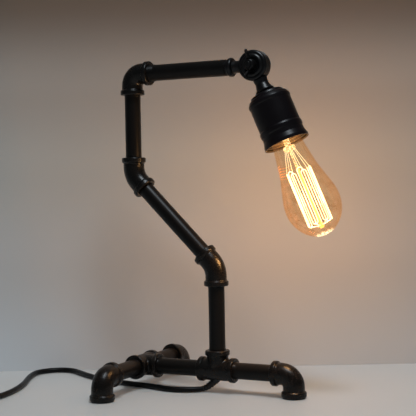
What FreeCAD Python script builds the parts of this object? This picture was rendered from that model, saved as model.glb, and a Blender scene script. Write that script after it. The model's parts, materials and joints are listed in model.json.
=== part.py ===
"""Industrial pipe table lamp, in millimetres.

Threaded iron pipe and fittings make a three-footed base, a cranked column and an arm. A disc swivel
with a wing nut carries a pressed cup with a screw lamp holder and a teardrop bulb. A mains cord leaves
the riser tee, passes an in-line switch and ends in a coil and a plug.

The origin lies on the table, at the middle of the lamp's box without its cord. +Z is up, the arm
reaches along +X and the cross bar of the base lies along Y. Each piece goes to parts/NODE.step.
"""
import FreeCAD, Part
import math
import os

Vector = FreeCAD.Vector

# ---------------------------------------------------------------- pipe and fittings
pipe_od = 17.1
pipe_wall = 2.3
thread_reach = 9.0          # how far a pipe end screws into a fitting
thread_gap = 0.08           # radial play of a screwed joint
body_od = pipe_od + 5.3     # fitting between its bands
run_swell = 0.5             # how much fatter a tee's run is than its branch
band_od = pipe_od + 8.7
band_width = 4.8
band_round = 1.3
band_blend = 2.0
waterway_d = 13.2           # bore of a fitting past its threads
elbow_reach = 22.5          # middle of a 90 degree elbow to its face
tee_reach = 20.5
bend_reach = 20.0           # middle of a 45 degree elbow to its face
elbow_bend = body_od / 2 + 1.4           # centre-line radius of a 90 degree elbow
bend_bend = 24.0            # centre-line radius of a 45 degree elbow
mouth_chamfer = 0.8

# ---------------------------------------------------------------- pipe lengths
foot_nipple_length = 60.0
link_nipple_length = 66.0
riser_length = 85.0
diagonal_length = 114.0
upper_length = 85.0
arm_length = 100.0
crank_angle = 45.0          # turn of each 45 degree elbow

# ---------------------------------------------------------------- feet
pad_thickness = 1.0
pad_d = band_od - 2.4
pad_plug_length = 5.0
pad_plug_gap = 0.15

# ---------------------------------------------------------------- place of the riser
riser_x = -14.24            # puts the origin at the middle of the lamp's box

# ---------------------------------------------------------------- swivel
collar_width = 7.5
collar_bead_d = 19.6
collar_spigot = 9.0
spigot_gap = 0.08
neck_d = 13.2
neck_waist_d = 12.4
neck_length = 7.2           # collar to the rim of the swivel disc
disc_d = 31.6
disc_thickness = 7.3        # each half
disc_gap = 0.5              # between the halves, held by the friction washer
disc_round = 2.8
rim_groove_depth = 0.45
rim_groove_width = 0.7
rim_clearance = 0.5         # a neck stands this far off the other half's rim
pocket_inner_d = 10.8
pocket_outer_d = 24.0
pocket_floor = 2.6
tail_d = 9.94               # threaded tails of the swivel and the hollow nipple
tail_bore_gap = 0.08
tail_length = 8.0
bolt_d = 5.94
bolt_fit = 0.08
bolt_head_d = 10.4
bolt_head_height = 3.6
bolt_head_gap = 0.15
bolt_slot_width = 1.2
bolt_slot_depth = 1.5
bolt_end = 1.4              # bolt beyond the wing nut
friction_washer_thickness = 0.4
plain_washer_d = 12.2
plain_washer_thickness = 1.0
nut_gap = 0.12
nut_base_d = 12.8
nut_top_d = 10.4
nut_height = 8.0
wing_span = 29.6
wing_height = 15.6
wing_thickness = 2.2
wing_root = 5.4             # width of a wing where it leaves the hub
wing_turn = -3.0

# ---------------------------------------------------------------- lamp holder, along its own axis
tilt = 23.2                 # rest angle of the holder from straight down
cup_start = 30.7            # swivel axis to the top of the cup
cup_length = 56.3
cup_wall = 0.9
cup_body_d = 43.4
cup_rim_d = 47.0
stem_waist_d = 13.6
stem_waist_at = 20.5
stem_flange_d = 19.8
stem_collar_d = 16.4          # between the flange and the cup
stem_collar_height = 1.9
stem_flange_height = 1.5
stem_thread_depth = 7.3
nipple_bore_d = 6.8
lock_nut_flats = 14.0
lock_nut_height = 3.0
bracket_d = 27.0
bracket_thickness = 1.5
bracket_gap = 0.3           # lock nut to bracket
insulator_d = 34.0
insulator_height = 13.6     # top face to the floor of the screw shell
insulator_bevel = 1.8
insulator_skirt = 7.0
insulator_recess_d = 16.0
insulator_recess_depth = 4.5
lead_slot_width = 3.2
terminal_drop = 9.5         # insulator top to the terminal screws
terminal_pocket = 7.0
terminal_pocket_depth = 3.0
terminal_head_d = 5.4
terminal_head_height = 2.0
small_screw_d = 2.8
small_screw_fit = 0.1
holder_screw_radius = 10.4  # from the axis
holder_screw_head_d = 3.8
holder_screw_head_height = 1.1
thread_pitch = 3.63         # lamp thread
thread_major_d = 26.1
thread_minor_d = 24.6
lamp_fit = 0.3              # radial play of the lamp in its holder
shell_wall = 0.5
shell_turns = 5
shell_lip_length = 3.0
shell_base_hole_d = 16.0
tongue_width = 5.0
tongue_thickness = 0.4
lead_d = 1.9
lead_offset = 1.5

# ---------------------------------------------------------------- bulb
bulb_length = 135.0         # end contact to the tip of the glass
bulb_d = 57.0
bulb_contact_play = 0.4     # end contact to the tongue
cap_turns = 5
cap_height = 25.0           # end contact to the rim of the cap
cap_wall = 0.35
cap_lead_in = 2.6           # end contact to the first turn
contact_d = 9.6
contact_height = 1.0
glass_wall = 0.8
glass_neck_d = 23.4
glass_flare_at = 34.5       # end contact to the end of the neck's flare
glass_end_drop = 16.5       # tip to the corner of the rounded end
glass_end_turn = 50.0       # how far the side turns at that corner
stem_tube_d = 9.0
rod_d = 2.6
filament_d = 0.9
filament_strands = 14
filament_start = 64.0       # end contact to the upper hooks
filament_end = 122.5        # end contact to the lower hooks
filament_radius = 12.6
stem_button_at = 41.0       # end contact to the bead that holds the upper wires
stem_button_d = 12.4
support_d = 0.6

# ---------------------------------------------------------------- cord
cord_d = 5.7
wire_way_d = cord_d + 0.7   # through the swivel's stems
cable_fit = 0.15            # cord in the boot
boot_d = cord_d + 2.5
boot_tip_d = cord_d + 1.0
boot_steps = 4
boot_length = 17.0
boot_hole_gap = 0.1
coil_radius = 34.0          # middle of the turns
coil_columns = 3
coil_layers = 2
coil_y = -242.0
tie_width = 6.0
tie_thickness = 0.9
tie_angle = 200.0
switch_middle = (-208.5, -176.0)
switch_length = 58.0
switch_width = 25.0
switch_height = 15.0
switch_round = 4.0
switch_nose = 6.0
switch_nose_d = 10.0
cord_seat = 0.3             # the cord ends this share of the housing's length from its middle
rocker_length = 16.0
rocker_width = 10.0
rocker_gap = 0.8
rocker_rise = 2.2           # how far the rocker's ends stand above the cover
rocker_tilt = 9.0
plug_length = 30.0
plug_width = 25.0
plug_height = 15.0
plug_round = 3.5
plug_nose = 14.0
plug_nose_d = 10.0
plug_cord_depth = 8.0
blade_length = 17.0
blade_width = 6.35
blade_thickness = 1.5
blade_spacing = 12.7

tail_run = 22.0             # coil to the plug's nose
switch_mid_z = switch_height / 2
floor_z = cord_d / 2
cord_hole_z = elbow_reach + pad_thickness - (body_od + run_swell + waterway_d) / 4 + 0.375
cord_points = [
    (riser_x - 0.2, 0.0, cord_hole_z), (riser_x - 11.1, 0.0, floor_z), (-38.5, -13.0, floor_z),
    (-61.0, -19.5, floor_z), (-90.0, -10.0, floor_z), (-122.0, -6.0, floor_z), (-161.0, 5.0, floor_z),
    (-192.0, 21.0, floor_z), (-228.0, 45.5, floor_z), (-258.0, 21.0, floor_z), (-244.0, -17.0, floor_z),
    (-229.0, -43.0, floor_z), (-217.5, -71.0, floor_z), (-211.2, -95.0, floor_z), (-208.9, -118.0, floor_z),
    (-208.5, -136.0, switch_mid_z), (-208.5, -158.6, switch_mid_z)]

# ---------------------------------------------------------------- worked-out sizes
pipe_bore_d = pipe_od - 2 * pipe_wall
socket_bore_d = pipe_od + 2 * thread_gap
axis_z = elbow_reach + pad_thickness          # height of the base pipes
foot_span = tee_reach + foot_nipple_length - 2 * thread_reach + elbow_reach
link_span = 2 * tee_reach + link_nipple_length - 2 * thread_reach
riser_span = tee_reach + riser_length - 2 * thread_reach + bend_reach
diagonal_span = 2 * bend_reach + diagonal_length - 2 * thread_reach
upper_span = bend_reach + upper_length - 2 * thread_reach + elbow_reach
arm_end = elbow_reach - thread_reach + arm_length
arm_span = arm_end + collar_width + neck_length + disc_d / 2

X, Y, Z = Vector(1, 0, 0), Vector(0, 1, 0), Vector(0, 0, 1)
lean = math.radians(crank_angle)
riser_foot = Vector(riser_x, 0, axis_z)
low_bend = riser_foot + Z * riser_span
diagonal_way = Vector(-math.sin(lean), 0, math.cos(lean))
high_bend = low_bend + diagonal_way * diagonal_span
top_corner = high_bend + Z * upper_span
pivot = top_corner + X * arm_span
cross_middle = riser_foot - X * link_span
right_foot = riser_foot + X * foot_span
front_foot = cross_middle - Y * foot_span
rear_foot = cross_middle + Y * foot_span

floor_level = cup_start + cup_wall + lock_nut_height + bracket_gap + bracket_thickness + insulator_height
insulator_top = floor_level - insulator_height
tongue_rise = 1.2
contact_start = floor_level + tongue_rise + tongue_thickness + bulb_contact_play
parts = {}


# ---------------------------------------------------------------- small tools
def outline(corners):
    """Closed wire in the XZ plane through (radius, height[, round]) corners, each rounded by its arc."""
    count = len(corners)
    flat = [Vector(c[0], 0, c[1]) for c in corners]
    starts, ends, middles = [], [], []
    for i, corner in enumerate(corners):
        here = flat[i]
        rounding = corner[2] if len(corner) > 2 else 0
        back = (flat[i - 1] - here).normalize()
        ahead = (flat[(i + 1) % count] - here).normalize()
        half = back.getAngle(ahead) / 2
        if rounding and half < math.pi / 2 - 0.01:
            reach = rounding / math.tan(half)
            inward = (back + ahead).normalize()
            starts.append(here + back * reach)
            ends.append(here + ahead * reach)
            middles.append(here + inward * (rounding / math.sin(half) - rounding))
        else:
            starts.append(here)
            ends.append(here)
            middles.append(None)
    edges = []
    for i in range(count):
        if middles[i]:
            edges.append(Part.Arc(starts[i], middles[i], ends[i]).toShape())
        after = starts[(i + 1) % count]
        if ends[i].distanceToPoint(after) > 1e-6:
            edges.append(Part.LineSegment(ends[i], after).toShape())
    return Part.Wire(edges)


def turned(corners):
    """Solid of revolution about Z."""
    return Part.Face(outline(corners)).revolve(Vector(), Z, 360)


def placed(shape, origin, up=Z, side=X):
    """Copy with its own Z turned to `up`, its own X to `side`, and its origin moved to `origin`."""
    turn = FreeCAD.Rotation(side, up.cross(side), up, "ZXY")
    copy = shape.copy()
    copy.Placement = FreeCAD.Placement(origin, turn).multiply(shape.Placement)
    return copy


def rod(start, end, diameter):
    return Part.makeCylinder(diameter / 2, (end - start).Length, start, end - start)


def ring(outer_d, inner_d, start, end):
    """Plain washer about Z from height `start` to `end`."""
    return turned([(inner_d / 2, start), (outer_d / 2, start), (outer_d / 2, end), (inner_d / 2, end)])


def path(points, radii=None):
    """Straight runs joined by tangent arcs; without radii each arc is as large as its runs allow."""
    places = [Vector(*p) for p in points]
    edges, here = [], places[0]
    used = []
    for i in range(1, len(places) - 1):
        back, ahead = places[i - 1] - places[i], places[i + 1] - places[i]
        half_turn = (math.pi - back.getAngle(ahead)) / 2
        if radii:
            radius = radii[i - 1]
        else:
            radius = 0.45 * min(back.Length, ahead.Length) / math.tan(half_turn)
        used.append(radius)
        reach = radius * math.tan(half_turn)
        start = places[i] + back.normalize() * reach
        end = places[i] + ahead.normalize() * reach
        inward = (back + ahead).normalize()
        middle = places[i] + inward * (radius / math.cos(half_turn) - radius)
        edges.append(Part.LineSegment(here, start).toShape())
        edges.append(Part.Arc(start, middle, end).toShape())
        here = end
    edges.append(Part.LineSegment(here, places[-1]).toShape())
    return Part.Wire(edges), used


def tube(points, diameter, radii=None):
    wire, used = path(points, radii)
    start = wire.Edges[0]
    way = start.tangentAt(start.FirstParameter)
    face = Part.Face(Part.Wire(Part.makeCircle(diameter / 2, Vector(*points[0]), way)))
    solid = wire.makePipe(face)
    return solid, wire.Length, used


def rounded_block(length_x, length_y, height, rounding):
    """Block standing on Z = 0, centred on the Z axis, with rounded upright edges."""
    block = Part.makeBox(length_x, length_y, height, Vector(-length_x / 2, -length_y / 2, 0))
    upright = [e for e in block.Edges if abs(e.tangentAt(e.FirstParameter).z) > 0.9]
    return block.makeFillet(rounding, upright)


# ---------------------------------------------------------------- pipe and fittings
def pipe(start, end):
    """Length of pipe with chamfered ends."""
    length = (end - start).Length
    outer, bore, chamfer = pipe_od / 2, pipe_bore_d / 2, pipe_wall * 0.4
    shape = turned([(bore, 0), (outer - chamfer, 0), (outer, chamfer), (outer, length - chamfer),
                    (outer - chamfer, length), (bore, length)])
    way = (end - start).normalize()
    side = X if abs(way.x) < 0.9 else Y
    side = (side - way * side.dot(way)).normalize()
    return placed(shape, start, way, side)


def band(reach, way, side):
    """Reinforcing band at a fitting's mouth, as a solid disc for the bores to open."""
    body, outer = body_od / 2, band_od / 2
    shape = turned([(0, reach), (outer, reach, band_round), (outer, reach - band_width, band_round),
                    (body, reach - band_width - band_round, band_round),
                    (body, reach - band_width - band_round - band_blend), (0, reach - band_width - 4)])
    return placed(shape, Vector(), way, side)


def mouth(reach, way, side):
    """What a mouth removes: the threaded bore, its chamfer and the waterway to the middle."""
    bore = socket_bore_d / 2
    depth = reach - thread_reach - thread_gap
    shape = turned([(0, depth), (bore, depth), (bore, reach - mouth_chamfer),
                    (bore + mouth_chamfer, reach), (0, reach)])
    return placed(shape, Vector(), way, side)


def bend_run(diameter, reach, turn, bend_radius):
    """Round bar that comes up Z, turns by `turn` degrees towards +X and runs on to `reach`."""
    angle = math.radians(turn)
    tangent = bend_radius * math.tan(angle / 2)
    way = Vector(math.sin(angle), 0, math.cos(angle))
    line_in = Part.LineSegment(Vector(0, 0, -reach), Vector(0, 0, -tangent)).toShape()
    middle = Vector(bend_radius * (1 - math.cos(angle / 2)), 0,
                    bend_radius * math.sin(angle / 2) - tangent)
    arc = Part.Arc(Vector(0, 0, -tangent), middle, way * tangent).toShape()
    line_out = Part.LineSegment(way * tangent, way * reach).toShape()
    face = Part.Face(Part.Wire(Part.makeCircle(diameter / 2, Vector(0, 0, -reach), Z)))
    return Part.Wire([line_in, arc, line_out]).makePipe(face)


def elbow(reach, turn, bend_radius):
    """Elbow from a mouth facing -Z to a mouth turned by `turn` degrees towards +X."""
    angle = math.radians(turn)
    way = Vector(math.sin(angle), 0, math.cos(angle))
    body = bend_run(body_od, reach - band_width, turn, bend_radius)
    body = body.fuse([band(reach, -Z, X), band(reach, way, Y)]).removeSplitter()
    hollow = bend_run(waterway_d, reach, turn, bend_radius)
    return body.cut([hollow, mouth(reach, -Z, X), mouth(reach, way, Y)])


def tee():
    """Tee with its run along X and its branch along +Z."""
    half = tee_reach - band_width
    run = rod(X * -half, X * half, body_od + run_swell)
    branch = rod(Vector(), Z * half, body_od)
    body = run.fuse(branch).removeSplitter()
    seam = [e for e in body.Edges if e.Length > body_od and 1 < e.CenterOfMass.z < half - 1]
    body = body.makeFillet(band_blend, seam)
    ways = [(X, Y), (-X, Y), (Z, X)]
    body = body.fuse([band(tee_reach, way, side) for way, side in ways])
    waterway = [rod(X * -tee_reach, X * tee_reach, waterway_d), rod(Vector(), Z * tee_reach, waterway_d)]
    return body.cut(waterway + [mouth(tee_reach, way, side) for way, side in ways])


def foot_pad():
    """Rubber pad under a foot elbow, with a plug that holds it in the elbow's open mouth."""
    plug = socket_bore_d / 2 - pad_plug_gap
    outer = pad_d / 2
    edge = pad_thickness * 0.3
    return turned([(0, 0), (outer, 0, edge), (outer, pad_thickness, edge), (plug, pad_thickness),
                   (plug, pad_thickness + pad_plug_length, 0.8), (0, pad_thickness + pad_plug_length)])


def make_base():
    elbow_90 = elbow(elbow_reach, 90, elbow_bend)
    plain_tee = tee()
    parts["cross_tee"] = placed(plain_tee, cross_middle, X, Y)
    cord_start = Vector(*cord_points[0])
    cord_way = (Vector(*cord_points[1]) - cord_start).normalize()
    hole = rod(cord_start - cord_way * boot_d, cord_start + cord_way * boot_d, boot_d + 2 * boot_hole_gap)
    parts["riser_tee"] = placed(plain_tee, riser_foot).cut(hole)
    for name, corner, way in [("right", right_foot, X), ("front", front_foot, -Y), ("rear", rear_foot, Y)]:
        parts[name + "_foot_elbow"] = placed(elbow_90, corner, way, -Z)
        start = corner - way * (foot_span - tee_reach + thread_reach)
        parts[name + "_nipple"] = pipe(start, start + way * foot_nipple_length)
    link_start = cross_middle + X * (tee_reach - thread_reach)
    parts["link_nipple"] = pipe(link_start, link_start + X * link_nipple_length)
    pads = [placed(foot_pad(), Vector(corner.x, corner.y, 0))
            for corner in (right_foot, front_foot, rear_foot)]
    parts["foot_pads"] = Part.makeCompound(pads)


def make_column():
    elbow_45 = elbow(bend_reach, crank_angle, bend_bend)
    parts["lower_elbow_45"] = placed(elbow_45, low_bend, Z, -X)
    turned_side = Vector(math.cos(lean), 0, math.sin(lean))
    parts["upper_elbow_45"] = placed(elbow_45, high_bend, diagonal_way, turned_side)
    parts["top_elbow_90"] = placed(elbow(elbow_reach, 90, elbow_bend), top_corner)
    start = riser_foot + Z * (tee_reach - thread_reach)
    parts["riser_pipe"] = pipe(start, start + Z * riser_length)
    start = low_bend + diagonal_way * (bend_reach - thread_reach)
    parts["diagonal_pipe"] = pipe(start, start + diagonal_way * diagonal_length)
    start = high_bend + Z * (bend_reach - thread_reach)
    parts["upper_pipe"] = pipe(start, start + Z * upper_length)
    start = top_corner + X * (elbow_reach - thread_reach)
    parts["arm_pipe"] = pipe(start, start + X * arm_length)


# ---------------------------------------------------------------- swivel
def arm_collar():
    """Turned collar along +X: spigot in the pipe, bead against its end, tapped for the swivel's tail."""
    bore = tail_d / 2 + tail_bore_gap
    spigot, bead, neck = pipe_bore_d / 2 - spigot_gap, collar_bead_d / 2, neck_d / 2
    shape = turned([(bore, -collar_spigot), (spigot, -collar_spigot), (spigot, 0), (neck + 1.7, 0, 0.3),
                    (neck + 1.7, 1.9, 0.4), (bead, 2.4, 1.9), (bead, collar_width - 0.8, 1.9),
                    (neck, collar_width), (bore, collar_width)])
    return placed(shape, top_corner + X * arm_end, X, Y)


def half_disc():
    """Half of the swivel about Z, mating face down at half the gap, pocketed round the bolt."""
    low, high, outer = disc_gap / 2, disc_gap / 2 + disc_thickness, disc_d / 2
    step = 2 * rim_groove_width
    corners = [(bolt_d / 2 + bolt_fit, low), (pocket_inner_d / 2, low),
               (pocket_inner_d / 2, high - pocket_floor), (pocket_outer_d / 2, high - pocket_floor),
               (pocket_outer_d / 2, low), (outer, low)]
    for i in range(2):
        start = low + (i + 0.6) * step
        corners += [(outer, start), (outer - rim_groove_depth, start + rim_groove_width / 2),
                    (outer, start + rim_groove_width)]
    corners += [(outer, high, disc_round), (bolt_d / 2 + bolt_fit, high)]
    return turned(corners)


def swivel_half(stem, way, side):
    """Half disc on the `side` of the joint, with a stem along `way` that clears the other half's rim."""
    disc = placed(half_disc(), Vector(), side, way)
    rim = disc_d / 2 + rim_clearance
    room = Part.makeCylinder(rim, 2 * rim, Vector(), -side).fuse(
        Part.makeCylinder(pocket_outer_d / 2, disc_gap / 2 + disc_thickness - pocket_floor, Vector(), side))
    room = room.fuse(Part.makeCylinder(rim, disc_gap / 2, Vector(), side))
    stem = placed(stem, Vector(), way, side).cut(room)
    body = disc.fuse(stem)
    start = disc_d / 2 - 6.0
    return body.cut(rod(way * start, way * (start + 40), wire_way_d))


def make_swivel():
    parts["arm_collar"] = arm_collar()
    neck_end = disc_d / 2 + neck_length
    neck, waist, tail = neck_d / 2, neck_waist_d / 2, tail_d / 2
    stem = turned([(0, 9), (neck, 9), (neck, disc_d / 2 + 0.5), (waist, disc_d / 2 + 3, 2),
                   (waist, neck_end - 3, 2), (neck, neck_end), (tail, neck_end),
                   (tail, neck_end + tail_length), (0, neck_end + tail_length)])
    parts["swivel_arm_half"] = placed(swivel_half(stem, -X, -Y), pivot)

    waist, flange, collar = stem_waist_d / 2, stem_flange_d / 2, stem_collar_d / 2
    flange_end = cup_start - stem_collar_height
    flange_top = flange_end - stem_flange_height
    thread_start = cup_start - stem_thread_depth
    stem = turned([(0, 9), (waist + 0.5, 9), (waist + 0.5, disc_d / 2 + 0.4, 2), (waist, stem_waist_at, 4),
                   (waist + 1.1, stem_waist_at + 4.2, 2), (flange - 0.9, flange_top, 0.3),
                   (flange, flange_top, 0.5),
                   (flange, flange_end, 0.4), (collar, flange_end, 0.4), (collar, cup_start),
                   (0, cup_start)])
    half = swivel_half(stem, -Z, Y)
    bore = Part.makeCylinder(tail_d / 2 + tail_bore_gap, stem_thread_depth, Z * -cup_start)
    parts["swivel_socket_half"] = in_head(half.cut(bore))

    face = disc_gap / 2 + disc_thickness
    washer = ring(pocket_inner_d, bolt_d + 2 * bolt_fit + 0.6, -disc_gap / 2,
                  -disc_gap / 2 + friction_washer_thickness)
    parts["friction_washer"] = placed(washer, pivot, Y, X)
    washer = ring(plain_washer_d, bolt_d + 2 * bolt_fit + 0.4, face, face + plain_washer_thickness)
    parts["plain_washer"] = placed(washer, pivot, -Y, X)
    parts["swivel_bolt"] = swivel_bolt(face)
    parts["wing_nut"] = wing_nut(face + plain_washer_thickness + nut_gap)


def swivel_bolt(face):
    """Slotted bolt along -Y: head behind the socket half, end beyond the wing nut."""
    head_start = -face - bolt_head_gap
    end = face + plain_washer_thickness + nut_gap + nut_height + bolt_end
    shank, head = bolt_d / 2, bolt_head_d / 2
    shape = turned([(0, head_start - bolt_head_height), (head, head_start - bolt_head_height, 1.2),
                    (head, head_start, 0.4), (shank, head_start), (shank, end, 0.5), (0, end)])
    slot = Part.makeBox(bolt_head_d + 2, bolt_slot_width, bolt_slot_depth,
                        Vector(-bolt_head_d / 2 - 1, -bolt_slot_width / 2, head_start - bolt_head_height))
    return placed(shape.cut(slot), pivot, -Y, X)


def wing_nut(start):
    """Wing nut: a tapered hub and two wings that lean outward to rounded tips."""
    bore = bolt_d / 2 + bolt_fit
    hub = turned([(bore, 0), (nut_base_d / 2, 0, 0.4), (nut_top_d / 2, nut_height, 0.8),
                  (bore, nut_height)])
    tip_radius = wing_root * 0.4
    tip = Vector(wing_span / 2 - tip_radius, 0, wing_height - tip_radius)
    inner = nut_base_d / 2 - 1.6
    low = Vector(inner, 0, 0.6)
    high = Vector(inner, 0, 0.6 + wing_root)
    # the two straight sides run tangent to the round tip
    sides = []
    for root, sign in ((low, 1), (high, -1)):
        gap = tip - root
        swing = math.asin(tip_radius / gap.Length)
        heading = math.atan2(gap.z, gap.x) - sign * swing
        reach = math.sqrt(gap.Length ** 2 - tip_radius ** 2)
        sides.append(root + Vector(math.cos(heading), 0, math.sin(heading)) * reach)
    outer = tip + (tip - (low + high) / 2).normalize() * tip_radius
    wire = Part.Wire([Part.LineSegment(low, sides[0]).toShape(),
                      Part.Arc(sides[0], outer, sides[1]).toShape(),
                      Part.LineSegment(sides[1], high).toShape(), Part.LineSegment(high, low).toShape()])
    wing = Part.Face(wire).extrude(Y * wing_thickness)
    wing.translate(Y * -wing_thickness / 2)
    wing = wing.makeFillet(wing_thickness * 0.3, [e for e in wing.Edges if abs(e.CenterOfMass.y) > 1])
    other = wing.copy()
    other.rotate(Vector(), Z, 180)
    body = hub.fuse([wing, other])
    body = body.cut(Part.makeCylinder(bore, nut_height + 2, Z * -1)).removeSplitter()
    turn = math.radians(90 + wing_turn)
    side = Vector(math.cos(turn), 0, math.sin(turn))
    return placed(body, pivot + Y * -start, -Y, side)


# ---------------------------------------------------------------- lamp holder and bulb
def in_head(shape):
    """From the holder's own frame, swivel axis at the origin and mouth down -Z, to its tilted place."""
    copy = shape.copy()
    copy.rotate(Vector(), Y, -tilt)
    copy.translate(pivot)
    return copy


def down(corners):
    """Holder profiles are written as (radius, distance from the swivel axis)."""
    return turned([(c[0], -c[1]) + tuple(c[2:]) for c in corners])


def ridges(radius_major, radius_minor, start, turns):
    """Rolled lamp thread as rings: profile corners from `start`, one crest per turn."""
    corners = []
    for i in range(turns):
        low = start + i * thread_pitch
        corners += [(radius_minor, low, 0.8), (radius_major, low + thread_pitch / 2, 0.9)]
    corners.append((radius_minor, start + turns * thread_pitch, 0.8))
    return corners


def cup():
    """Pressed cup: stepped and rounded shoulder, plain body, bead, flared rim."""
    body, rim, top = cup_body_d / 2, cup_rim_d / 2, cup_start
    end = cup_start + cup_length
    shoulder = [(body - 10.0, top, 0.5), (body - 9.5, top + 0.8, 0.4), (body - 5.0, top + 1.2, 1.4),
                (body - 3.9, top + 3.8, 0.8),
                (body - 1.5, top + 5.0, 3.0), (body + 0.6, top + 8.5, 1.4), (body + 0.6, top + 10.9, 0.8),
                (body, top + 12.1, 0.6)]
    side = [(body, end - 18.6, 0.8), (body + 0.8, end - 17.0, 1.0), (body + 0.8, end - 13.6, 1.0),
            (body + 0.1, end - 12.0, 1.0), (body + 0.2, end - 8.0, 2.0), (rim - 0.1, end - 3.0, 2.0)]
    outer = shoulder + side + [(rim, end)]
    inner = [(c[0] - cup_wall, c[1] + cup_wall, c[2]) for c in shoulder]
    inner += [(c[0] - cup_wall, c[1], c[2]) for c in side] + [(rim - cup_wall, end)]
    hole = tail_d / 2 + tail_bore_gap
    corners = [(hole, top)] + outer + inner[::-1] + [(hole, top + cup_wall)]
    return down(corners)


def lead_wire(sign):
    """One insulated wire from the swivel's wire way to its terminal screw."""
    level = insulator_top + 3.2
    out = insulator_d / 2 - 1.6
    points = [(sign * lead_offset, 0, -(disc_d / 2 + 1)), (sign * lead_offset, 0, -level),
              (sign * out, 0, -level),
              (sign * out, 0, -(insulator_top + terminal_drop - terminal_head_d / 2))]
    return tube(points, lead_d, [2.0, 1.6])[0]


def insulator():
    """Porcelain body: recess for the nipple's end, slot and pockets for the leads, skirt round the shell."""
    top, floor, outer = insulator_top, floor_level, insulator_d / 2
    skirt = thread_major_d / 2 + lamp_fit + shell_wall + 0.15
    recess = insulator_recess_d / 2
    body = down([(0, top + insulator_recess_depth), (recess, top + insulator_recess_depth), (recess, top),
                 (outer - insulator_bevel, top), (outer, top + insulator_bevel),
                 (outer, floor + insulator_skirt, 0.6), (skirt, floor + insulator_skirt),
                 (skirt, floor), (0, floor)])
    slot_depth = insulator_recess_depth
    cuts = [Part.makeBox(insulator_d + 2, lead_slot_width, slot_depth,
                         Vector(-insulator_d / 2 - 1, -lead_slot_width / 2, -top - slot_depth))]
    bottom = top + terminal_drop + terminal_pocket / 2
    screw = small_screw_d + 2 * small_screw_fit
    for sign in (-1, 1):
        inner = outer - terminal_pocket_depth
        low_x = inner if sign > 0 else -outer - 1
        cuts.append(Part.makeBox(terminal_pocket_depth + 1, terminal_pocket, bottom - top,
                                 Vector(low_x, -terminal_pocket / 2, -bottom)))
        level = -(top + terminal_drop)
        cuts.append(rod(Vector(sign * (inner - 5.2), 0, level), Vector(sign * outer, 0, level), screw))
        place = Vector(0, sign * holder_screw_radius, 0)
        cuts.append(rod(place - Z * top, place - Z * floor, screw))
    return body.cut(cuts)


def screw_shell():
    """Brass lamp thread: flat base with a hole for the tongue, rolled wall, plain lip."""
    major, minor = thread_major_d / 2 + lamp_fit, thread_minor_d / 2 + lamp_fit
    floor, wall = floor_level, shell_wall
    start = contact_start + cap_lead_in       # in step with the lamp's own turns
    end = start + shell_turns * thread_pitch + shell_lip_length
    hole = shell_base_hole_d / 2
    inner = [(hole, floor + wall), (minor, floor + wall, 0.5)] + ridges(major, minor, start, shell_turns)
    outer = [(hole, floor), (minor + wall, floor, 0.9)]
    outer += ridges(major + wall, minor + wall, start, shell_turns)
    lip = [(major, end - 1.4, 0.5), (major, end), (major + wall, end), (major + wall, end - 1.4, 0.5)]
    corners = inner + lip + outer[::-1]
    body = down(corners)
    screw = small_screw_d + 2 * small_screw_fit
    holes = [rod(Vector(0, s * holder_screw_radius, -floor + 1),
                 Vector(0, s * holder_screw_radius, -floor - 2),
                 screw) for s in (-1, 1)]
    return body.cut(holes)


def tongue():
    """Centre contact: a brass strip with its foot on the insulator and its tongue raised."""
    floor, thick, rise = floor_level, tongue_thickness, tongue_rise
    corners = [(-7.2, floor), (-3.0, floor), (-3.0 + thick, floor + 0.0), (-2.6 + rise, floor + rise),
               (4.5, floor + rise), (4.5, floor + rise + thick), (-2.8 + rise, floor + rise + thick),
               (-3.0, floor + thick), (-7.2, floor + thick)]
    places = [Vector(x, -tongue_width / 2, -s) for x, s in corners]
    face = Part.Face(Part.makePolygon(places + [places[0]]))
    return face.extrude(Y * tongue_width)


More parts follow.
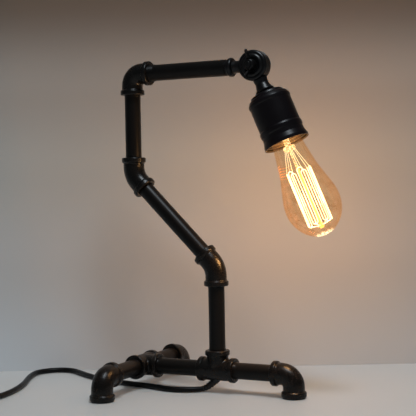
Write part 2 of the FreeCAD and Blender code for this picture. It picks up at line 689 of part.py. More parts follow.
def make_holder():
    top = cup_start + cup_wall
    nut_end = top + lock_nut_height
    bracket_start = nut_end + bracket_gap
    bore = tail_d / 2 + tail_bore_gap
    parts["holder_cup"] = in_head(cup())
    nipple_start = cup_start - stem_thread_depth + 0.4
    nipple_end = insulator_top + 1.0
    nipple = down([(nipple_bore_d / 2, nipple_start), (tail_d / 2, nipple_start, 0.4),
                   (tail_d / 2, nipple_end, 0.4), (nipple_bore_d / 2, nipple_end)])
    parts["hollow_nipple"] = in_head(nipple)
    corner = lock_nut_flats / math.sqrt(3)
    hexagon = Part.makePolygon([Vector(corner * math.cos(math.radians(60 * i)),
                                       corner * math.sin(math.radians(60 * i)),
                                       -nut_end) for i in range(7)])
    nut = Part.Face(hexagon).extrude(Z * lock_nut_height)
    parts["lock_nut"] = in_head(nut.cut(Part.makeCylinder(bore, 10, Z * -(nut_end + 2))))
    bracket = down([(bore, bracket_start), (bracket_d / 2, bracket_start, 0.4),
                    (bracket_d / 2, bracket_start + bracket_thickness, 0.4),
                    (bore, bracket_start + bracket_thickness)])
    screw = small_screw_d + 2 * small_screw_fit
    holes = [rod(Vector(0, s * holder_screw_radius, -bracket_start + 1),
                 Vector(0, s * holder_screw_radius, -bracket_start - 3), screw) for s in (-1, 1)]
    parts["holder_bracket"] = in_head(bracket.cut(holes))
    parts["insulator"] = in_head(insulator())
    parts["screw_shell"] = in_head(screw_shell())
    parts["centre_contact"] = in_head(tongue())
    screws, terminals = [], []
    for sign in (-1, 1):
        head = floor_level + shell_wall
        shape = turned([(0, bracket_start), (small_screw_d / 2, bracket_start), (small_screw_d / 2, head),
                        (holder_screw_head_d / 2, head),
                        (holder_screw_head_d / 2, head + holder_screw_head_height, 0.5),
                        (0, head + holder_screw_head_height)])
        screws.append(placed(shape, Y * sign * holder_screw_radius, -Z, X))
        inner = insulator_d / 2 - terminal_pocket_depth
        shape = turned([(0, inner - 5), (small_screw_d / 2, inner - 5), (small_screw_d / 2, inner),
                        (terminal_head_d / 2, inner),
                        (terminal_head_d / 2, inner + terminal_head_height, 0.6),
                        (0, inner + terminal_head_height)])
        terminals.append(placed(shape, Z * -(insulator_top + terminal_drop), X * sign, Y))
    parts["holder_screws"] = in_head(Part.makeCompound(screws))
    parts["terminal_screws"] = in_head(Part.makeCompound(terminals))
    parts["lead_wires"] = in_head(Part.makeCompound([lead_wire(-1), lead_wire(1)]))


def glass():
    """Teardrop envelope: straight neck, flare, long swelling sides and a rounded end."""
    neck, wide, wall = glass_neck_d / 2, bulb_d / 2, glass_wall
    start = contact_start + cap_height - 6.0
    end = contact_start + bulb_length
    flare = contact_start + glass_flare_at

    knuckle = end - glass_end_drop
    half_a = math.radians(glass_end_turn) / 2
    half_b = math.pi / 4 - half_a
    foot = wide - glass_end_drop * math.tan(2 * half_a)

    def side(inset):
        # the last two corners carry the two tangent arcs of the rounded end
        round_a = (glass_end_drop / math.cos(2 * half_a) - foot) / math.tan(half_a) * 0.98
        round_b = foot / math.tan(half_b) * 0.98
        return [(neck - inset, start + 7.0, 6.0), (wide * 0.54 - inset, flare, 12.0),
                (wide * 0.70 - inset, flare + 29.5, 60.0), (wide - inset, end - 40.0, 44.0),
                (wide - inset, knuckle - inset * math.tan(half_a), round_a - inset),
                (foot - inset * math.tan(half_b), end - inset, round_b - inset)]

    outer = [(neck, start)] + side(0) + [(0, end)]
    inner = [(neck - wall, start)] + side(wall) + [(0, end - wall)]
    return down(outer + inner[::-1])


def make_bulb():
    start, wall = contact_start, cap_wall
    major, minor = thread_major_d / 2, thread_minor_d / 2
    first = start + cap_lead_in
    skirt = minor - 0.1
    rim = start + cap_height
    outer = [(minor, first)] + ridges(major, minor, first, cap_turns)[1:]
    outer += [(skirt, first + 18.9), (skirt, rim)]
    inner = [(c[0] - wall,) + tuple(c[1:]) for c in outer]
    parts["bulb_cap"] = in_head(down(outer + inner[::-1]))
    parts["bulb_cap_insulator"] = in_head(down([
        (0, start + contact_height), (contact_d / 2, start + contact_height, 0.3),
        (minor - 1.0, first - 0.3, 0.5),
        (minor - wall - 0.05, first + 0.4), (minor - wall - 0.05, first + 1.6), (0, first + 1.6)]))
    parts["bulb_contact"] = in_head(down([
        (0, start), (contact_d / 2 - 1.4, start, 0.8), (contact_d / 2 - 0.6, start + contact_height),
        (0, start + contact_height)]))
    parts["bulb_glass"] = in_head(glass())
    button = start + stem_button_at
    tube_r, narrow, bead = stem_tube_d / 2, stem_tube_d / 2 - 1.4, stem_button_d / 2
    stem = down([(0, first + 12), (tube_r, first + 12), (tube_r, button - 14, 1.5),
                 (narrow, button - 9, 1.5),
                 (narrow, button - 3), (bead, button - 2, 0.8), (bead, button + 1.2, 1.0),
                 (narrow, button + 2.6, 0.8),
                 (0, button + 2.6)])
    rod_end = start + filament_end + 4.5
    stem_rod = down([(0, button), (rod_d / 2, button), (rod_d / 2, rod_end - 5, 0.6),
                     (rod_d / 2 + 1.0, rod_end - 4, 0.6),
                     (rod_d / 2 + 1.0, rod_end, 0.9), (0, rod_end)])
    foot = down([(0, first + 12), (tube_r, first + 12),
                 (glass_neck_d / 2 - glass_wall - 0.05, first + 15.6),
                 (glass_neck_d / 2 - glass_wall - 0.05, first + 16.8), (tube_r + 1.0, first + 18.0),
                 (0, first + 18)])
    stem = stem.fuse([stem_rod, foot]).removeSplitter()
    parts["bulb_stem"] = in_head(stem)
    strands, hooks = [], []
    upper, lower = -(start + filament_start), -(start + filament_end)
    step = 2 * math.pi / filament_strands
    bend = filament_radius * math.sin(step / 2)
    corners = [Vector(math.cos(i * step), math.sin(i * step), 0) * filament_radius
               for i in range(filament_strands)]
    for corner in corners:
        strands.append(rod(corner + Z * (upper - bend), corner + Z * (lower + bend), filament_d))
    for i in range(filament_strands - 1):
        # neighbours are joined by a half turn, at the far end first and then at the near one
        side, level, end = (-1, lower + bend, lower) if i % 2 == 0 else (1, upper - bend, upper)
        middle = (corners[i] + corners[i + 1]) / 2
        across = (corners[i + 1] - corners[i]).normalize()
        face = Part.Face(Part.Wire(Part.makeCircle(filament_d / 2, corners[i] + Z * level, Z)))
        strands.append(face.revolve(middle + Z * level, Z.cross(across) * side, 180))
        root = Z * -(rod_end - 2) if side < 0 else Vector(middle).normalize() * (bead - 1.2) - Z * button
        hooks.append(rod(root, middle + Z * end, support_d))
    for corner in (corners[0], corners[-1]):
        hooks.append(rod(Vector(corner).normalize() * (bead - 1.2) - Z * button,
                         corner + Z * (upper - bend), support_d))
    cage = strands[0].fuse(strands[1:])
    parts["filament"] = in_head(cage)
    parts["filament_supports"] = in_head(hooks[0].fuse(hooks[1:]).cut([stem, cage]))


# ---------------------------------------------------------------- cord, switch and plug
def cord_boot():
    """Stepped rubber strain relief that follows the first bend of the cord."""
    wire, _ = path(cord_points[:3])
    straight, bend = wire.Edges[0], wire.Edges[1]
    start = Vector(*cord_points[0])
    way = (Vector(*cord_points[1]) - start).normalize()
    bore_d = cord_d + 2 * cable_fit
    neck = rod(start, start + way * straight.Length, boot_d)
    body = neck
    left = boot_length - straight.Length
    centre, radius = bend.Curve.Center, bend.Curve.Radius
    axis = (start + way * straight.Length - centre).cross(way).normalize()
    for i in range(boot_steps):
        diameter = boot_d - (boot_d - boot_tip_d) * (i + 1) / boot_steps
        face = Part.Face(Part.Wire(Part.makeCircle(diameter / 2, start + way * straight.Length, way)))
        body = body.fuse(face.revolve(centre, axis, math.degrees(left * (i + 1) / boot_steps / radius)))
    bore = wire.makePipe(Part.Face(Part.Wire(Part.makeCircle(bore_d / 2, start, way))))
    return body.cut(bore).removeSplitter()


def make_cord():
    parts["cord_boot"] = cord_boot()
    cord, length, radii = tube(cord_points, cord_d)
    parts["mains_cord"] = cord
    print("mains_cord length", round(length, 1), "radii", [round(r, 1) for r in radii],
          "volume against section times length",
          round(cord.Volume / (math.pi * cord_d ** 2 / 4 * length), 4))
    switch_x, switch_y = switch_middle
    middle = Vector(switch_x - coil_radius - cord_d * (coil_columns - 1) / 2, coil_y, 0)
    half = cord_d * coil_columns / 2
    height = cord_d * coil_layers
    coil = turned([(coil_radius - half, 0, 2.4), (coil_radius + half, 0, 2.4),
                   (coil_radius + half, height, 2.4), (coil_radius - half, height, 2.4)])
    squeeze = tie_thickness
    outer = Part.makeBox(2 * half + 4, tie_width, height + 4,
                         Vector(coil_radius - half - 2, -tie_width / 2, -2))
    outer = outer.cut(Part.makeBox(2 * half - 2 * squeeze, tie_width, height - 2 * squeeze,
                                   Vector(coil_radius - half + squeeze, -tie_width / 2, squeeze)))
    strap = Part.makeBox(2 * half, tie_width, height, Vector(coil_radius - half, -tie_width / 2, 0))
    strap = strap.cut(Part.makeBox(2 * half - 2 * squeeze, tie_width, height - 2 * squeeze,
                                   Vector(coil_radius - half + squeeze, -tie_width / 2, squeeze)))
    for name, shape in (("cord_coil", coil.cut(outer)), ("coil_tie", strap)):
        shape.rotate(Vector(), Z, tie_angle)
        shape.translate(middle)
        parts[name] = shape
    lead_start = Vector(switch_x, switch_y - switch_length * cord_seat, switch_mid_z)
    lead_end = Vector(switch_x, coil_y + cord_d, switch_mid_z)
    parts["cord_lead"] = rod(lead_start, lead_end, cord_d)
    tail_x = middle.x - coil_radius - cord_d * (coil_columns - 1) / 2
    nose_tip = Vector(tail_x, coil_y + cord_d + tail_run, plug_height / 2)
    parts["cord_tail"] = rod(Vector(tail_x, coil_y + cord_d, plug_height / 2),
                             nose_tip + Y * plug_cord_depth, cord_d)
    print("coil middle", middle, "tail at x", tail_x, "plug nose at", nose_tip)
    make_switch(Vector(switch_x, switch_y, 0))
    make_plug(nose_tip)


def make_switch(middle):
    """Oblong two-part housing split at half height, cord noses at both ends, rocker in a window."""
    half = switch_height / 2
    block = rounded_block(switch_width, switch_length, switch_height, 6.0)
    soft = [e for e in block.Edges if abs(e.CenterOfMass.z - half) > half - 0.01]
    block = block.makeFillet(switch_round * 0.6, soft)
    nose = turned([(0, 0), (switch_nose_d / 2, 0), (cord_d / 2 + 1.2, switch_nose, 0.8), (0, switch_nose)])
    for way in (Y, -Y):
        block = block.fuse(placed(nose, way * (switch_length / 2 - 0.5) + Z * half, way, X))
    bore = rod(Y * -switch_length + Z * half, Y * switch_length + Z * half, cord_d + 2 * cable_fit)
    block = block.cut(bore.cut(Part.makeBox(40, 2 * switch_length * cord_seat, 40,
                                            Vector(-20, -switch_length * cord_seat, -20))))
    big = 2 * switch_length
    lower = Part.makeBox(big, big, half, Vector(-big / 2, -big / 2, 0))
    window_x, window_y = rocker_width + 2 * rocker_gap, rocker_length + 2 * rocker_gap
    well = Part.makeBox(window_x, window_y, switch_height,
                        Vector(-window_x / 2, -window_y / 2, half * 0.55))
    base = block.common(lower).cut(well)
    cover = block.cut(lower).cut(well)
    parts["switch_base"] = base
    parts["switch_cover"] = cover
    # seen from the side the rocker is a shallow V whose ends stand proud in turn
    reach = rocker_length / 2
    top = switch_height
    axis_height = switch_height - 3.0
    corners = [(-reach, top + rocker_rise), (0, top + 0.7), (reach, top + rocker_rise * 0.9),
               (reach, top - 2.2),
               (3.0, axis_height - 3.2), (-3.0, axis_height - 3.2), (-reach, top - 2.2)]
    places = [Vector(-rocker_width / 2, y, z) for y, z in corners]
    rocker = Part.Face(Part.makePolygon(places + [places[0]])).extrude(X * rocker_width)
    rocker.rotate(Vector(0, 0, axis_height), X, rocker_tilt)
    pin = rod(Vector(-rocker_width / 2 - 2.0, 0, axis_height),
              Vector(rocker_width / 2 + 2.0, 0, axis_height), 2.4)
    pin_room = rod(Vector(-rocker_width / 2 - 2.4, 0, axis_height),
                   Vector(rocker_width / 2 + 2.4, 0, axis_height), 2.54)
    parts["switch_cover"] = cover.cut(pin_room)
    parts["switch_rocker"] = rocker.fuse(pin).removeSplitter()
    for name in ("switch_base", "switch_cover", "switch_rocker"):
        parts[name].translate(middle)


def make_plug(nose_tip):
    """Moulded two-blade plug lying flat, nose towards the coil, blades along +Y."""
    nose = turned([(0, 0), (cord_d / 2 + 1.0, 0, 0.4), (plug_nose_d / 2, plug_nose), (0, plug_nose)])
    body = rounded_block(plug_width, plug_height, plug_length, plug_round)
    rims = [e for e in body.Edges if e.CenterOfMass.z < 0.01 or e.CenterOfMass.z > plug_length - 0.01]
    body = body.makeFillet(1.2, rims)
    waist = turned([(plug_height, plug_length * 0.28, 3), (plug_width, plug_length * 0.28),
                    (plug_width, plug_length * 0.72),
                    (plug_height, plug_length * 0.72, 3), (plug_width / 2 - 1.3, plug_length * 0.5, 6)])
    body = body.cut(waist)
    body.translate(Z * plug_nose)
    bore = Part.makeCylinder(cord_d / 2 + cable_fit, plug_cord_depth)
    body = body.fuse(nose).cut(bore).removeSplitter()
    start = plug_nose + plug_length
    inset = 6.0
    blades = []
    for sign in (-1, 1):
        blade = rounded_block(blade_thickness, blade_width, blade_length + inset, 0.5)
        blade.translate(Vector(sign * blade_spacing / 2, 0, start - inset))
        blades.append(blade)
    place = nose_tip
    parts["plug_body"] = placed(body.cut(blades), place, Y, X)
    parts["plug_blades"] = placed(Part.makeCompound(blades), place, Y, X)


def inner_cable():
    """Cable through the pipes from the boot to the neck of the swivel's arm half."""
    start = Vector(*cord_points[0])
    way = (start - Vector(*cord_points[1])).normalize()
    inside = start + way * 7.0
    end = pivot - X * (disc_d / 2 + 2.0)
    points = [start, inside, riser_foot + Vector(0.6, 0, 18), riser_foot + Z * 50, low_bend, high_bend,
              top_corner, end]
    return tube([tuple(p) for p in points], cord_d, [6.0, 30.0, 60.0, bend_bend, bend_bend, elbow_bend])


def main():
    make_base()
    make_column()
    make_swivel()
    make_holder()
    make_bulb()
    make_cord()
    cable, length, _ = inner_cable()
    parts["inner_cable"] = cable
    print("inner_cable length", round(length, 1))
    os.makedirs("parts", exist_ok=True)
    for name, shape in parts.items():
        if not shape.isValid():
            print("not valid:", name)
        shape.exportStep("parts/" + name + ".step")
    print(len(parts), "nodes; pivot", pivot, "contact at", contact_start)


main()
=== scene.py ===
# %% [markdown]
# # A desk lamp made of black water pipe
# The lamp is a bent run of iron pipe on three feet, with a swivel, a metal cup and a clear amber
# filament bulb on its arm, and a mains cord with a switch and a plug. Its shapes and its joints come
# from a finished CAD model, which stays where it is. This lesson gives that model its camera, its
# cord, its finishes and its light. Everything is in metres, with the table top at height 0, and
# small sizes are written in millimetres and multiplied by mm.

# %% Load the fixed frame
import json
import math

import bpy
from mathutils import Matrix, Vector


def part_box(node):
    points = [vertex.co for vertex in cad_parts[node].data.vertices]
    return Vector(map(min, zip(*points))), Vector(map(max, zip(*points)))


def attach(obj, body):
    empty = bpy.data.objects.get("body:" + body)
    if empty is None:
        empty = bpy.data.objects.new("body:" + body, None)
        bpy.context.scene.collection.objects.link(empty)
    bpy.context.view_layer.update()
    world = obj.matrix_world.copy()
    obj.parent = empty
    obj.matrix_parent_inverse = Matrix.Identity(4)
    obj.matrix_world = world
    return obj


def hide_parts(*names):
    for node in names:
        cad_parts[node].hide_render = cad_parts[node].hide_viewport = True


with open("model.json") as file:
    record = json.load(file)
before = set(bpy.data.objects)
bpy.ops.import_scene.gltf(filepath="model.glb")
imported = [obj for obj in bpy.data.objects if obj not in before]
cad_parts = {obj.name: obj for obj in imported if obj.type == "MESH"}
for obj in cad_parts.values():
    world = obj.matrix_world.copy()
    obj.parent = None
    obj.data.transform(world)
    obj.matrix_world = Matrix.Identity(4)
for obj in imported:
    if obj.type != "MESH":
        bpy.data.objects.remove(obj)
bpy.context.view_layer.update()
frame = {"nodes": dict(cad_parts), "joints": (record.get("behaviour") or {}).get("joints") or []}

scene = bpy.context.scene
nodes = frame["nodes"]
mm = 0.001

# %% [markdown]
# The camera stands a little over a metre away, to the front and right of the lamp, at about the
# height of the middle of the stem. A long lens from there keeps the pipes nearly parallel, which is
# how a product picture is usually taken. Its place and turn are plain numbers, so it can be moved.
# Whatever is new in the scene is an object that shows some data, so one helper makes all of them.

# %% The camera
def add_object(name, data):
    """A new object in the scene, showing this data."""
    made = bpy.data.objects.new(name, data)
    scene.collection.objects.link(made)
    return made


camera_data = bpy.data.cameras.new("camera")
camera_data.sensor_width = 36.0
camera_data.lens = 91.09
camera = add_object("camera", camera_data)
camera.location = (0.46582, -0.98407, 0.21910)
camera.rotation_euler = (1.546360, 0.018872, 0.459886)
scene.camera = camera
print("camera", tuple(round(v, 3) for v in camera.location), "lens", camera_data.lens)

# %% [markdown]
# The cord is one round jacketed cable, 5.7 mm thick and about 1.73 m long. It leaves the riser tee
# underneath, lies on the table in a loose bend, passes through a switch, and what is left over is
# wound up neatly and tied, as it would be on a shelf. A NURBS curve suits a cord, because it
# never bends sharply: its control points only pull the line towards them.

# %% The route of the cord
cord_width = 5.7 * mm
route = [
    (-14.44, 0.0, 14.85), (-25.34, 0.0, 2.85), (-38.5, -13.0, 2.85), (-61.0, -19.5, 2.85),
    (-90.0, -10.0, 2.85), (-122.0, -6.0, 2.85), (-161.0, 5.0, 2.85), (-192.0, 21.0, 2.85),
    (-228.0, 45.5, 2.85), (-258.0, 21.0, 2.85), (-244.0, -17.0, 2.85), (-229.0, -43.0, 2.85),
    (-217.5, -71.0, 2.85), (-211.2, -95.0, 2.85), (-208.9, -118.0, 2.85), (-208.5, -136.0, 7.5),
    (-208.5, -158.6, 7.5), (-208.5, -193.4, 7.5), (-208.5, -214.0, 8.2),
]
print("control points before the coil:", len(route))

# %% [markdown]
# A wound cable is a stack of rings joined by short steps from one ring to the next. Here three
# rings lie on three, and each step takes about the last quarter of its turn. Sixteen control points
# a turn keep the rings round. The curve runs a little inside its points, so they stand a little out.

# %% The wound part of the cord
coil_middle = (-248.2, -242.0)
rings = (28.3, 34.0, 39.7)
low, high = 2.85, 8.55
turn_plan = [(radius, high) for radius in reversed(rings)] + [(radius, low) for radius in rings]
coil_turns = 5.5
step_start, step_share = 0.72, 0.26
points_per_turn = 16
pull = 1 / math.cos(math.pi / points_per_turn)


def coil_point(step):
    """Control point number step of the coil, which winds clockwise from the east side."""
    turn, part = divmod(step / points_per_turn, 1)
    here = turn_plan[int(turn)]
    after = turn_plan[min(int(turn) + 1, len(turn_plan) - 1)]
    share = min(1, max(0, (part - step_start) / step_share))
    share = share * share * (3 - 2 * share)
    radius = (here[0] + (after[0] - here[0]) * share) * pull
    height = here[1] + (after[1] - here[1]) * share
    angle = 2 * math.pi * part
    return (coil_middle[0] + radius * math.cos(angle), coil_middle[1] - radius * math.sin(angle), height)


coil_steps = int(coil_turns * points_per_turn)
route += [coil_point(step) for step in range(coil_steps + 1)]
tail_x = coil_middle[0] - rings[2]
route += [(tail_x, -232.0, 2.9), (tail_x, -224.0, 4.6), (tail_x, -214.0, 7.5), (tail_x, -206.3, 7.5)]
print("control points:", len(route), "of them in the coil:", coil_steps + 1)

# %% [markdown]
# The order and the endpoint setting are given after the points, because Blender limits the order to
# the number of points that a new spline has. The bevel turns the line into a round cable. Its depth
# is 1 and the half width is given to the points, since a curve's own box is widened by that number.

# %% The cord itself
def spline_through(name, points):
    """A curve object of one open NURBS spline with these control points, in millimetres."""
    data = bpy.data.curves.new(name, "CURVE")
    data.dimensions = "3D"
    spline = data.splines.new("NURBS")
    spline.points.add(len(points) - 1)
    for point, place in zip(spline.points, points):
        point.co = (*(v * mm for v in place), 1.0)
    spline.order_u = 3
    spline.use_endpoint_u = True
    spline.resolution_u = 6
    return add_object(name, data)


mains_lead = spline_through("mains_lead", route)
line = bpy.data.meshes.new_from_object(mains_lead)
path = [vertex.co.copy() for vertex in line.vertices]
bpy.data.meshes.remove(line)
cord_length = sum((b - a).length for a, b in zip(path, path[1:]))
for point in mains_lead.data.splines[0].points:
    point.radius = cord_width / 2
mains_lead.data.bevel_depth = 1.0
mains_lead.data.bevel_resolution = 5
mains_lead.data.use_fill_caps = True
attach(mains_lead, "stand")
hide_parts("mains_cord", "cord_lead", "cord_coil", "cord_tail")
print("cord length", round(cord_length, 3), "m")

# %% [markdown]
# Some pieces sit on the cord and follow its bends. They need the point of the cord's line at a
# given distance along it, so the distance of every point of the line is kept, and a point between
# two of them is found by a straight blend.

# %% A place along the cord
reach = [0.0]
for a, b in zip(path, path[1:]):
    reach.append(reach[-1] + (b - a).length)


def place_on_cord(distance):
    """The point of the cord's line this many metres from its start."""
    for i in range(1, len(path)):
        if reach[i] >= distance:
            share = (distance - reach[i - 1]) / (reach[i] - reach[i - 1])
            return path[i - 1].lerp(path[i], share)
    return path[-1].copy()


print("points on the cord's line:", len(path))

# %% [markdown]
# Where the cord leaves the tee it wears a rubber sleeve that gets thinner outward, so that it bends
# slowly instead of kinking at the hole. It has grooves, which let it flex. The sleeve follows the
# cord's own line: a second curve runs through points read from that line, and the width at each of
# its points makes the taper and the grooves. A groove and the ridge after it share one pitch, and
# their starts and ends are given as shares of it. The plug has a shorter sleeve.

# %% Rubber sleeves on the cord
lip_drop, lip_length, end_drop = 0.5, 0.4, 0.12
groove_depth = 0.45
groove_start, groove_end, ridge_start, ridge_end = 0.10, 0.38, 0.50, 0.98


def sleeve(name, start, end, wide, narrow, grooves, plain):
    """A tapered sleeve on the cord from one distance to another, in metres. wide and narrow are its
    half widths in millimetres, and the first plain millimetres of it have no grooves."""
    widths = [(0.0, wide - lip_drop), (lip_length, wide), (plain, wide)]
    length = abs(end - start) / mm
    pitch = (length - plain) / grooves
    for i in range(grooves):
        here = plain + i * pitch
        radius = wide + (narrow - wide) * (i + 1) / grooves
        bottom = radius - groove_depth
        widths += [(here + groove_start * pitch, bottom), (here + groove_end * pitch, bottom),
                   (here + ridge_start * pitch, radius), (here + ridge_end * pitch, radius)]
    widths.append((length, narrow - end_drop))
    data = bpy.data.curves.new(name, "CURVE")
    data.dimensions = "3D"
    spline = data.splines.new("POLY")
    spline.points.add(len(widths) - 1)
    way = 1 if end > start else -1
    for point, (step, radius) in zip(spline.points, widths):
        point.co = (*place_on_cord(start + way * step * mm), 1.0)
        point.radius = radius
    data.bevel_depth = mm
    data.bevel_resolution = 8
    data.use_fill_caps = True
    line = add_object(name + "_line", data)
    bpy.context.view_layer.update()
    made = add_object(name, bpy.data.meshes.new_from_object(line))
    bpy.data.objects.remove(line)
    for polygon in made.data.polygons:
        polygon.use_smooth = True
    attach(made, "stand")
    return made


tee_sleeve = sleeve("cord_sleeve", 0.0, 21.0 * mm, wide=4.05, narrow=3.05, grooves=5, plain=5.0)
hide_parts("cord_boot")
plug_end = reach[-1] - 6.0 * mm
plug_sleeve = sleeve("plug_sleeve", plug_end, plug_end - 20.0 * mm,
                     wide=4.3, narrow=3.1, grooves=5, plain=4.0)
for made in (tee_sleeve, plug_sleeve):
    print(made.name, "faces:", len(made.data.polygons))

# %% [markdown]
# Then the place where the cord leaves the lamp, the first point of its route, is worked out in metres,
# and its length is shown in diameters. The length is the measured length of its line.

# %% The cord's start and length
tuple(v * mm for v in route[0])
print("cord declared,", round(cord_length / cord_width), "diameters long")

# %% [markdown]
# Several pieces are rings of one profile: the runs of thread beside the fittings and the raised rims
# on the swivel. One circle is extruded upward again and again, and is made wider or narrower at each
# step. The first and last circles are then joined by a bridge, which closes the skin.

# %% A ring from its profile
weld_distance = 0.01 * mm
sharp_angle = math.radians(50)


def ring_of(name, first_radius, steps, sides=56):
    """A closed ring round Z. Each step is a lift and the new radius, in millimetres, from height 0."""
    bpy.ops.object.select_all(action="DESELECT")
    bpy.ops.mesh.primitive_circle_add(vertices=sides, radius=first_radius * mm, location=(0, 0, 0))
    made = bpy.context.object
    made.name = made.data.name = name
    bpy.ops.object.mode_set(mode="EDIT")
    bpy.ops.mesh.select_mode(type="EDGE")
    bpy.ops.mesh.select_all(action="SELECT")
    here = first_radius
    for lift, radius in steps:
        bpy.ops.mesh.extrude_region_move(TRANSFORM_OT_translate={"value": (0, 0, lift * mm)})
        bpy.ops.transform.resize(value=(radius / here, radius / here, 1), center_override=(0, 0, 0))
        here = radius
    bpy.ops.mesh.select_all(action="DESELECT")
    bpy.ops.mesh.select_non_manifold()
    bpy.ops.mesh.bridge_edge_loops()
    bpy.ops.mesh.select_all(action="SELECT")
    bpy.ops.mesh.remove_doubles(threshold=weld_distance)
    bpy.ops.mesh.normals_make_consistent(inside=False)
    bpy.ops.object.mode_set(mode="OBJECT")
    bpy.ops.object.shade_smooth_by_angle(angle=sharp_angle)
    return made


print("ring maker ready")

# %% [markdown]
# A ring is modelled once, upright at the origin, and copied to each place where it is seen. Every
# copy gets a mesh of its own, and the move and the turn go into that mesh, so that the object stays
# at the origin as the CAD pieces do.

# %% A copy of a ring in its place
def copy_to(model, name, place, way):
    """A copy of a ring with its foot at a place and its Z along way."""
    made = model.copy()
    made.data = model.data.copy()
    made.name = made.data.name = name
    scene.collection.objects.link(made)
    turn = Vector(way).to_track_quat("Z", "Y").to_matrix().to_4x4()
    turn.translation = place
    made.data.transform(turn)
    return made


print("copy helper ready")

# %% [markdown]
# A pipe's thread is cut a little longer than the fitting is deep, so a few turns always show beside
# each fitting. The turns are too fine for their climb to be seen, so they are modelled as rings, with
# a crest and a groove for each turn and a way back down inside the pipe.

# %% One run of thread
pipe_radius = 17.1 / 2
thread_pitch = 1.41
inner, groove, crest = pipe_radius - 0.6, pipe_radius - 0.05, pipe_radius + 0.42
rise, flat, fall = 0.55, 0.25, 0.45
hidden_length, end_length = 0.9, 0.3


def thread_run(name, turns):
    """A closed sleeve of thread standing on the origin, along Z. Its last turn is cut half as deep."""
    steps = [(-hidden_length, inner), (0.0, groove)]
    for turn in range(turns):
        tall = crest if turn < turns - 1 else (crest + groove) / 2
        steps += [(rise, tall), (flat, tall), (fall, groove), (thread_pitch - rise - flat - fall, groove)]
    return ring_of(name, inner, steps + [(end_length, inner)])


print("one turn of thread is", thread_pitch, "mm long")

# %% [markdown]
# Each place is given as the fitting, the pipe that leaves it, the way that the pipe leaves, and how
# many turns show. The mouth of the fitting is read from its box, and the pipe's axis from the middle
# of the pipe's box. The longest run is at the arm, where the elbow was not screwed fully home.

# %% Thread beside the fittings
def middle_of(name):
    """The middle of a CAD node's box."""
    near_corner, far_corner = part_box(name)
    return (Vector(near_corner) + Vector(far_corner)) / 2


thread_places = [
    ("top_elbow_90", "arm_pipe", (1, 0, 0), 6), ("top_elbow_90", "upper_pipe", (0, 0, -1), 2),
    ("upper_elbow_45", "upper_pipe", (0, 0, 1), 2), ("lower_elbow_45", "riser_pipe", (0, 0, -1), 2),
    ("riser_tee", "riser_pipe", (0, 0, 1), 2), ("riser_tee", "right_nipple", (1, 0, 0), 3),
    ("right_foot_elbow", "right_nipple", (-1, 0, 0), 3), ("riser_tee", "link_nipple", (-1, 0, 0), 2),
    ("cross_tee", "link_nipple", (1, 0, 0), 2), ("cross_tee", "front_nipple", (0, -1, 0), 2),
    ("front_foot_elbow", "front_nipple", (0, 1, 0), 2), ("cross_tee", "rear_nipple", (0, 1, 0), 2),
    ("rear_foot_elbow", "rear_nipple", (0, -1, 0), 2),
]
thread_models = {turns: thread_run("thread_model_" + str(turns), turns) for turns in (2, 3, 6)}
pipe_threads = []
for fitting, pipe, way, turns in thread_places:
    way = Vector(way)
    start = middle_of(pipe)
    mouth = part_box(fitting)
    for axis in range(3):
        if way[axis]:
            start[axis] = mouth[1][axis] if way[axis] > 0 else mouth[0][axis]
    run = copy_to(thread_models[turns], "thread_" + pipe + "_at_" + fitting, start, way)
    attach(run, "stand")
    pipe_threads.append(run)
for model in thread_models.values():
    bpy.data.objects.remove(model)
print("threads:", len(pipe_threads), "faces each:", sorted({len(run.data.polygons) for run in pipe_threads}))

# %% [markdown]
# The two halves of the swivel are castings with a raised, rounded rim on their outer faces, which
# catches the light as an arc. The rim is an arch from its inner to its outer edge, and a fullness
# below 1 makes the arch blunter. Each rim rides with its own half, so the rear one turns with the head.

# %% Raised rims on the swivel
joints = {joint["name"]: joint for joint in frame["joints"]}
pivot = tuple(joints["head_tilt"]["pos_m"])
rim_inner, rim_width, rim_height, rim_sunk = 7.0, 5.0, 1.5, 0.3
arch_parts, arch_fullness = 14, 0.8
rim_steps = [(rim_sunk, rim_inner)]
last = 0.0
for i in range(1, arch_parts + 1):
    height = rim_height * math.sin(math.pi * i / arch_parts) ** arch_fullness
    rim_steps.append((height - last, rim_inner + rim_width * i / arch_parts))
    last = height
rim_steps.append((-rim_sunk, rim_inner + rim_width))
rim_model = ring_of("rim_model", rim_inner, rim_steps, sides=96)
swivel_rims = []
for half, body, way in (("swivel_arm_half", "stand", -1), ("swivel_socket_half", "socket_head", 1)):
    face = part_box(half)[0 if way < 0 else 1][1] - way * rim_sunk * mm
    rim = copy_to(rim_model, half + "_rim", Vector((pivot[0], face, pivot[2])), (0, way, 0))
    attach(rim, body)
    swivel_rims.append(rim)
    print(rim.name, "face at", round(face / mm, 2), "mm")
bpy.data.objects.remove(rim_model)

# %% [markdown]
# A finish is a small net of shader nodes. Written as Python sums the net is much easier to read, so
# one class wraps an output socket and gives it the usual operators. Each operator adds a Math node.

# %% A socket that can be used in sums
class Value:
    """One output of a shader node. Sums on it add Math nodes to the same finish."""

    def __init__(self, finish, socket):
        self.finish = finish
        self.socket = socket

    def sum(self, operation, *terms):
        """A Math node with these terms, which are sockets or numbers."""
        return self.finish.add("Math", dict(enumerate(terms)), operation=operation)

    def __add__(self, other):
        return self.sum("ADD", self, other)

    def __radd__(self, other):
        return self.sum("ADD", other, self)

    def __sub__(self, other):
        return self.sum("SUBTRACT", self, other)

    def __rsub__(self, other):
        return self.sum("SUBTRACT", other, self)

    def __mul__(self, other):
        return self.sum("MULTIPLY", self, other)

    def __pow__(self, other):
        return self.sum("POWER", self, other)

    def between(self, start, end):
        """0 up to start, 1 from end on, and a soft step in between."""
        values = {"Value": self, "From Min": start, "From Max": end}
        return self.finish.add("MapRange", values, interpolation_type="SMOOTHSTEP")


print("sums on sockets ready")

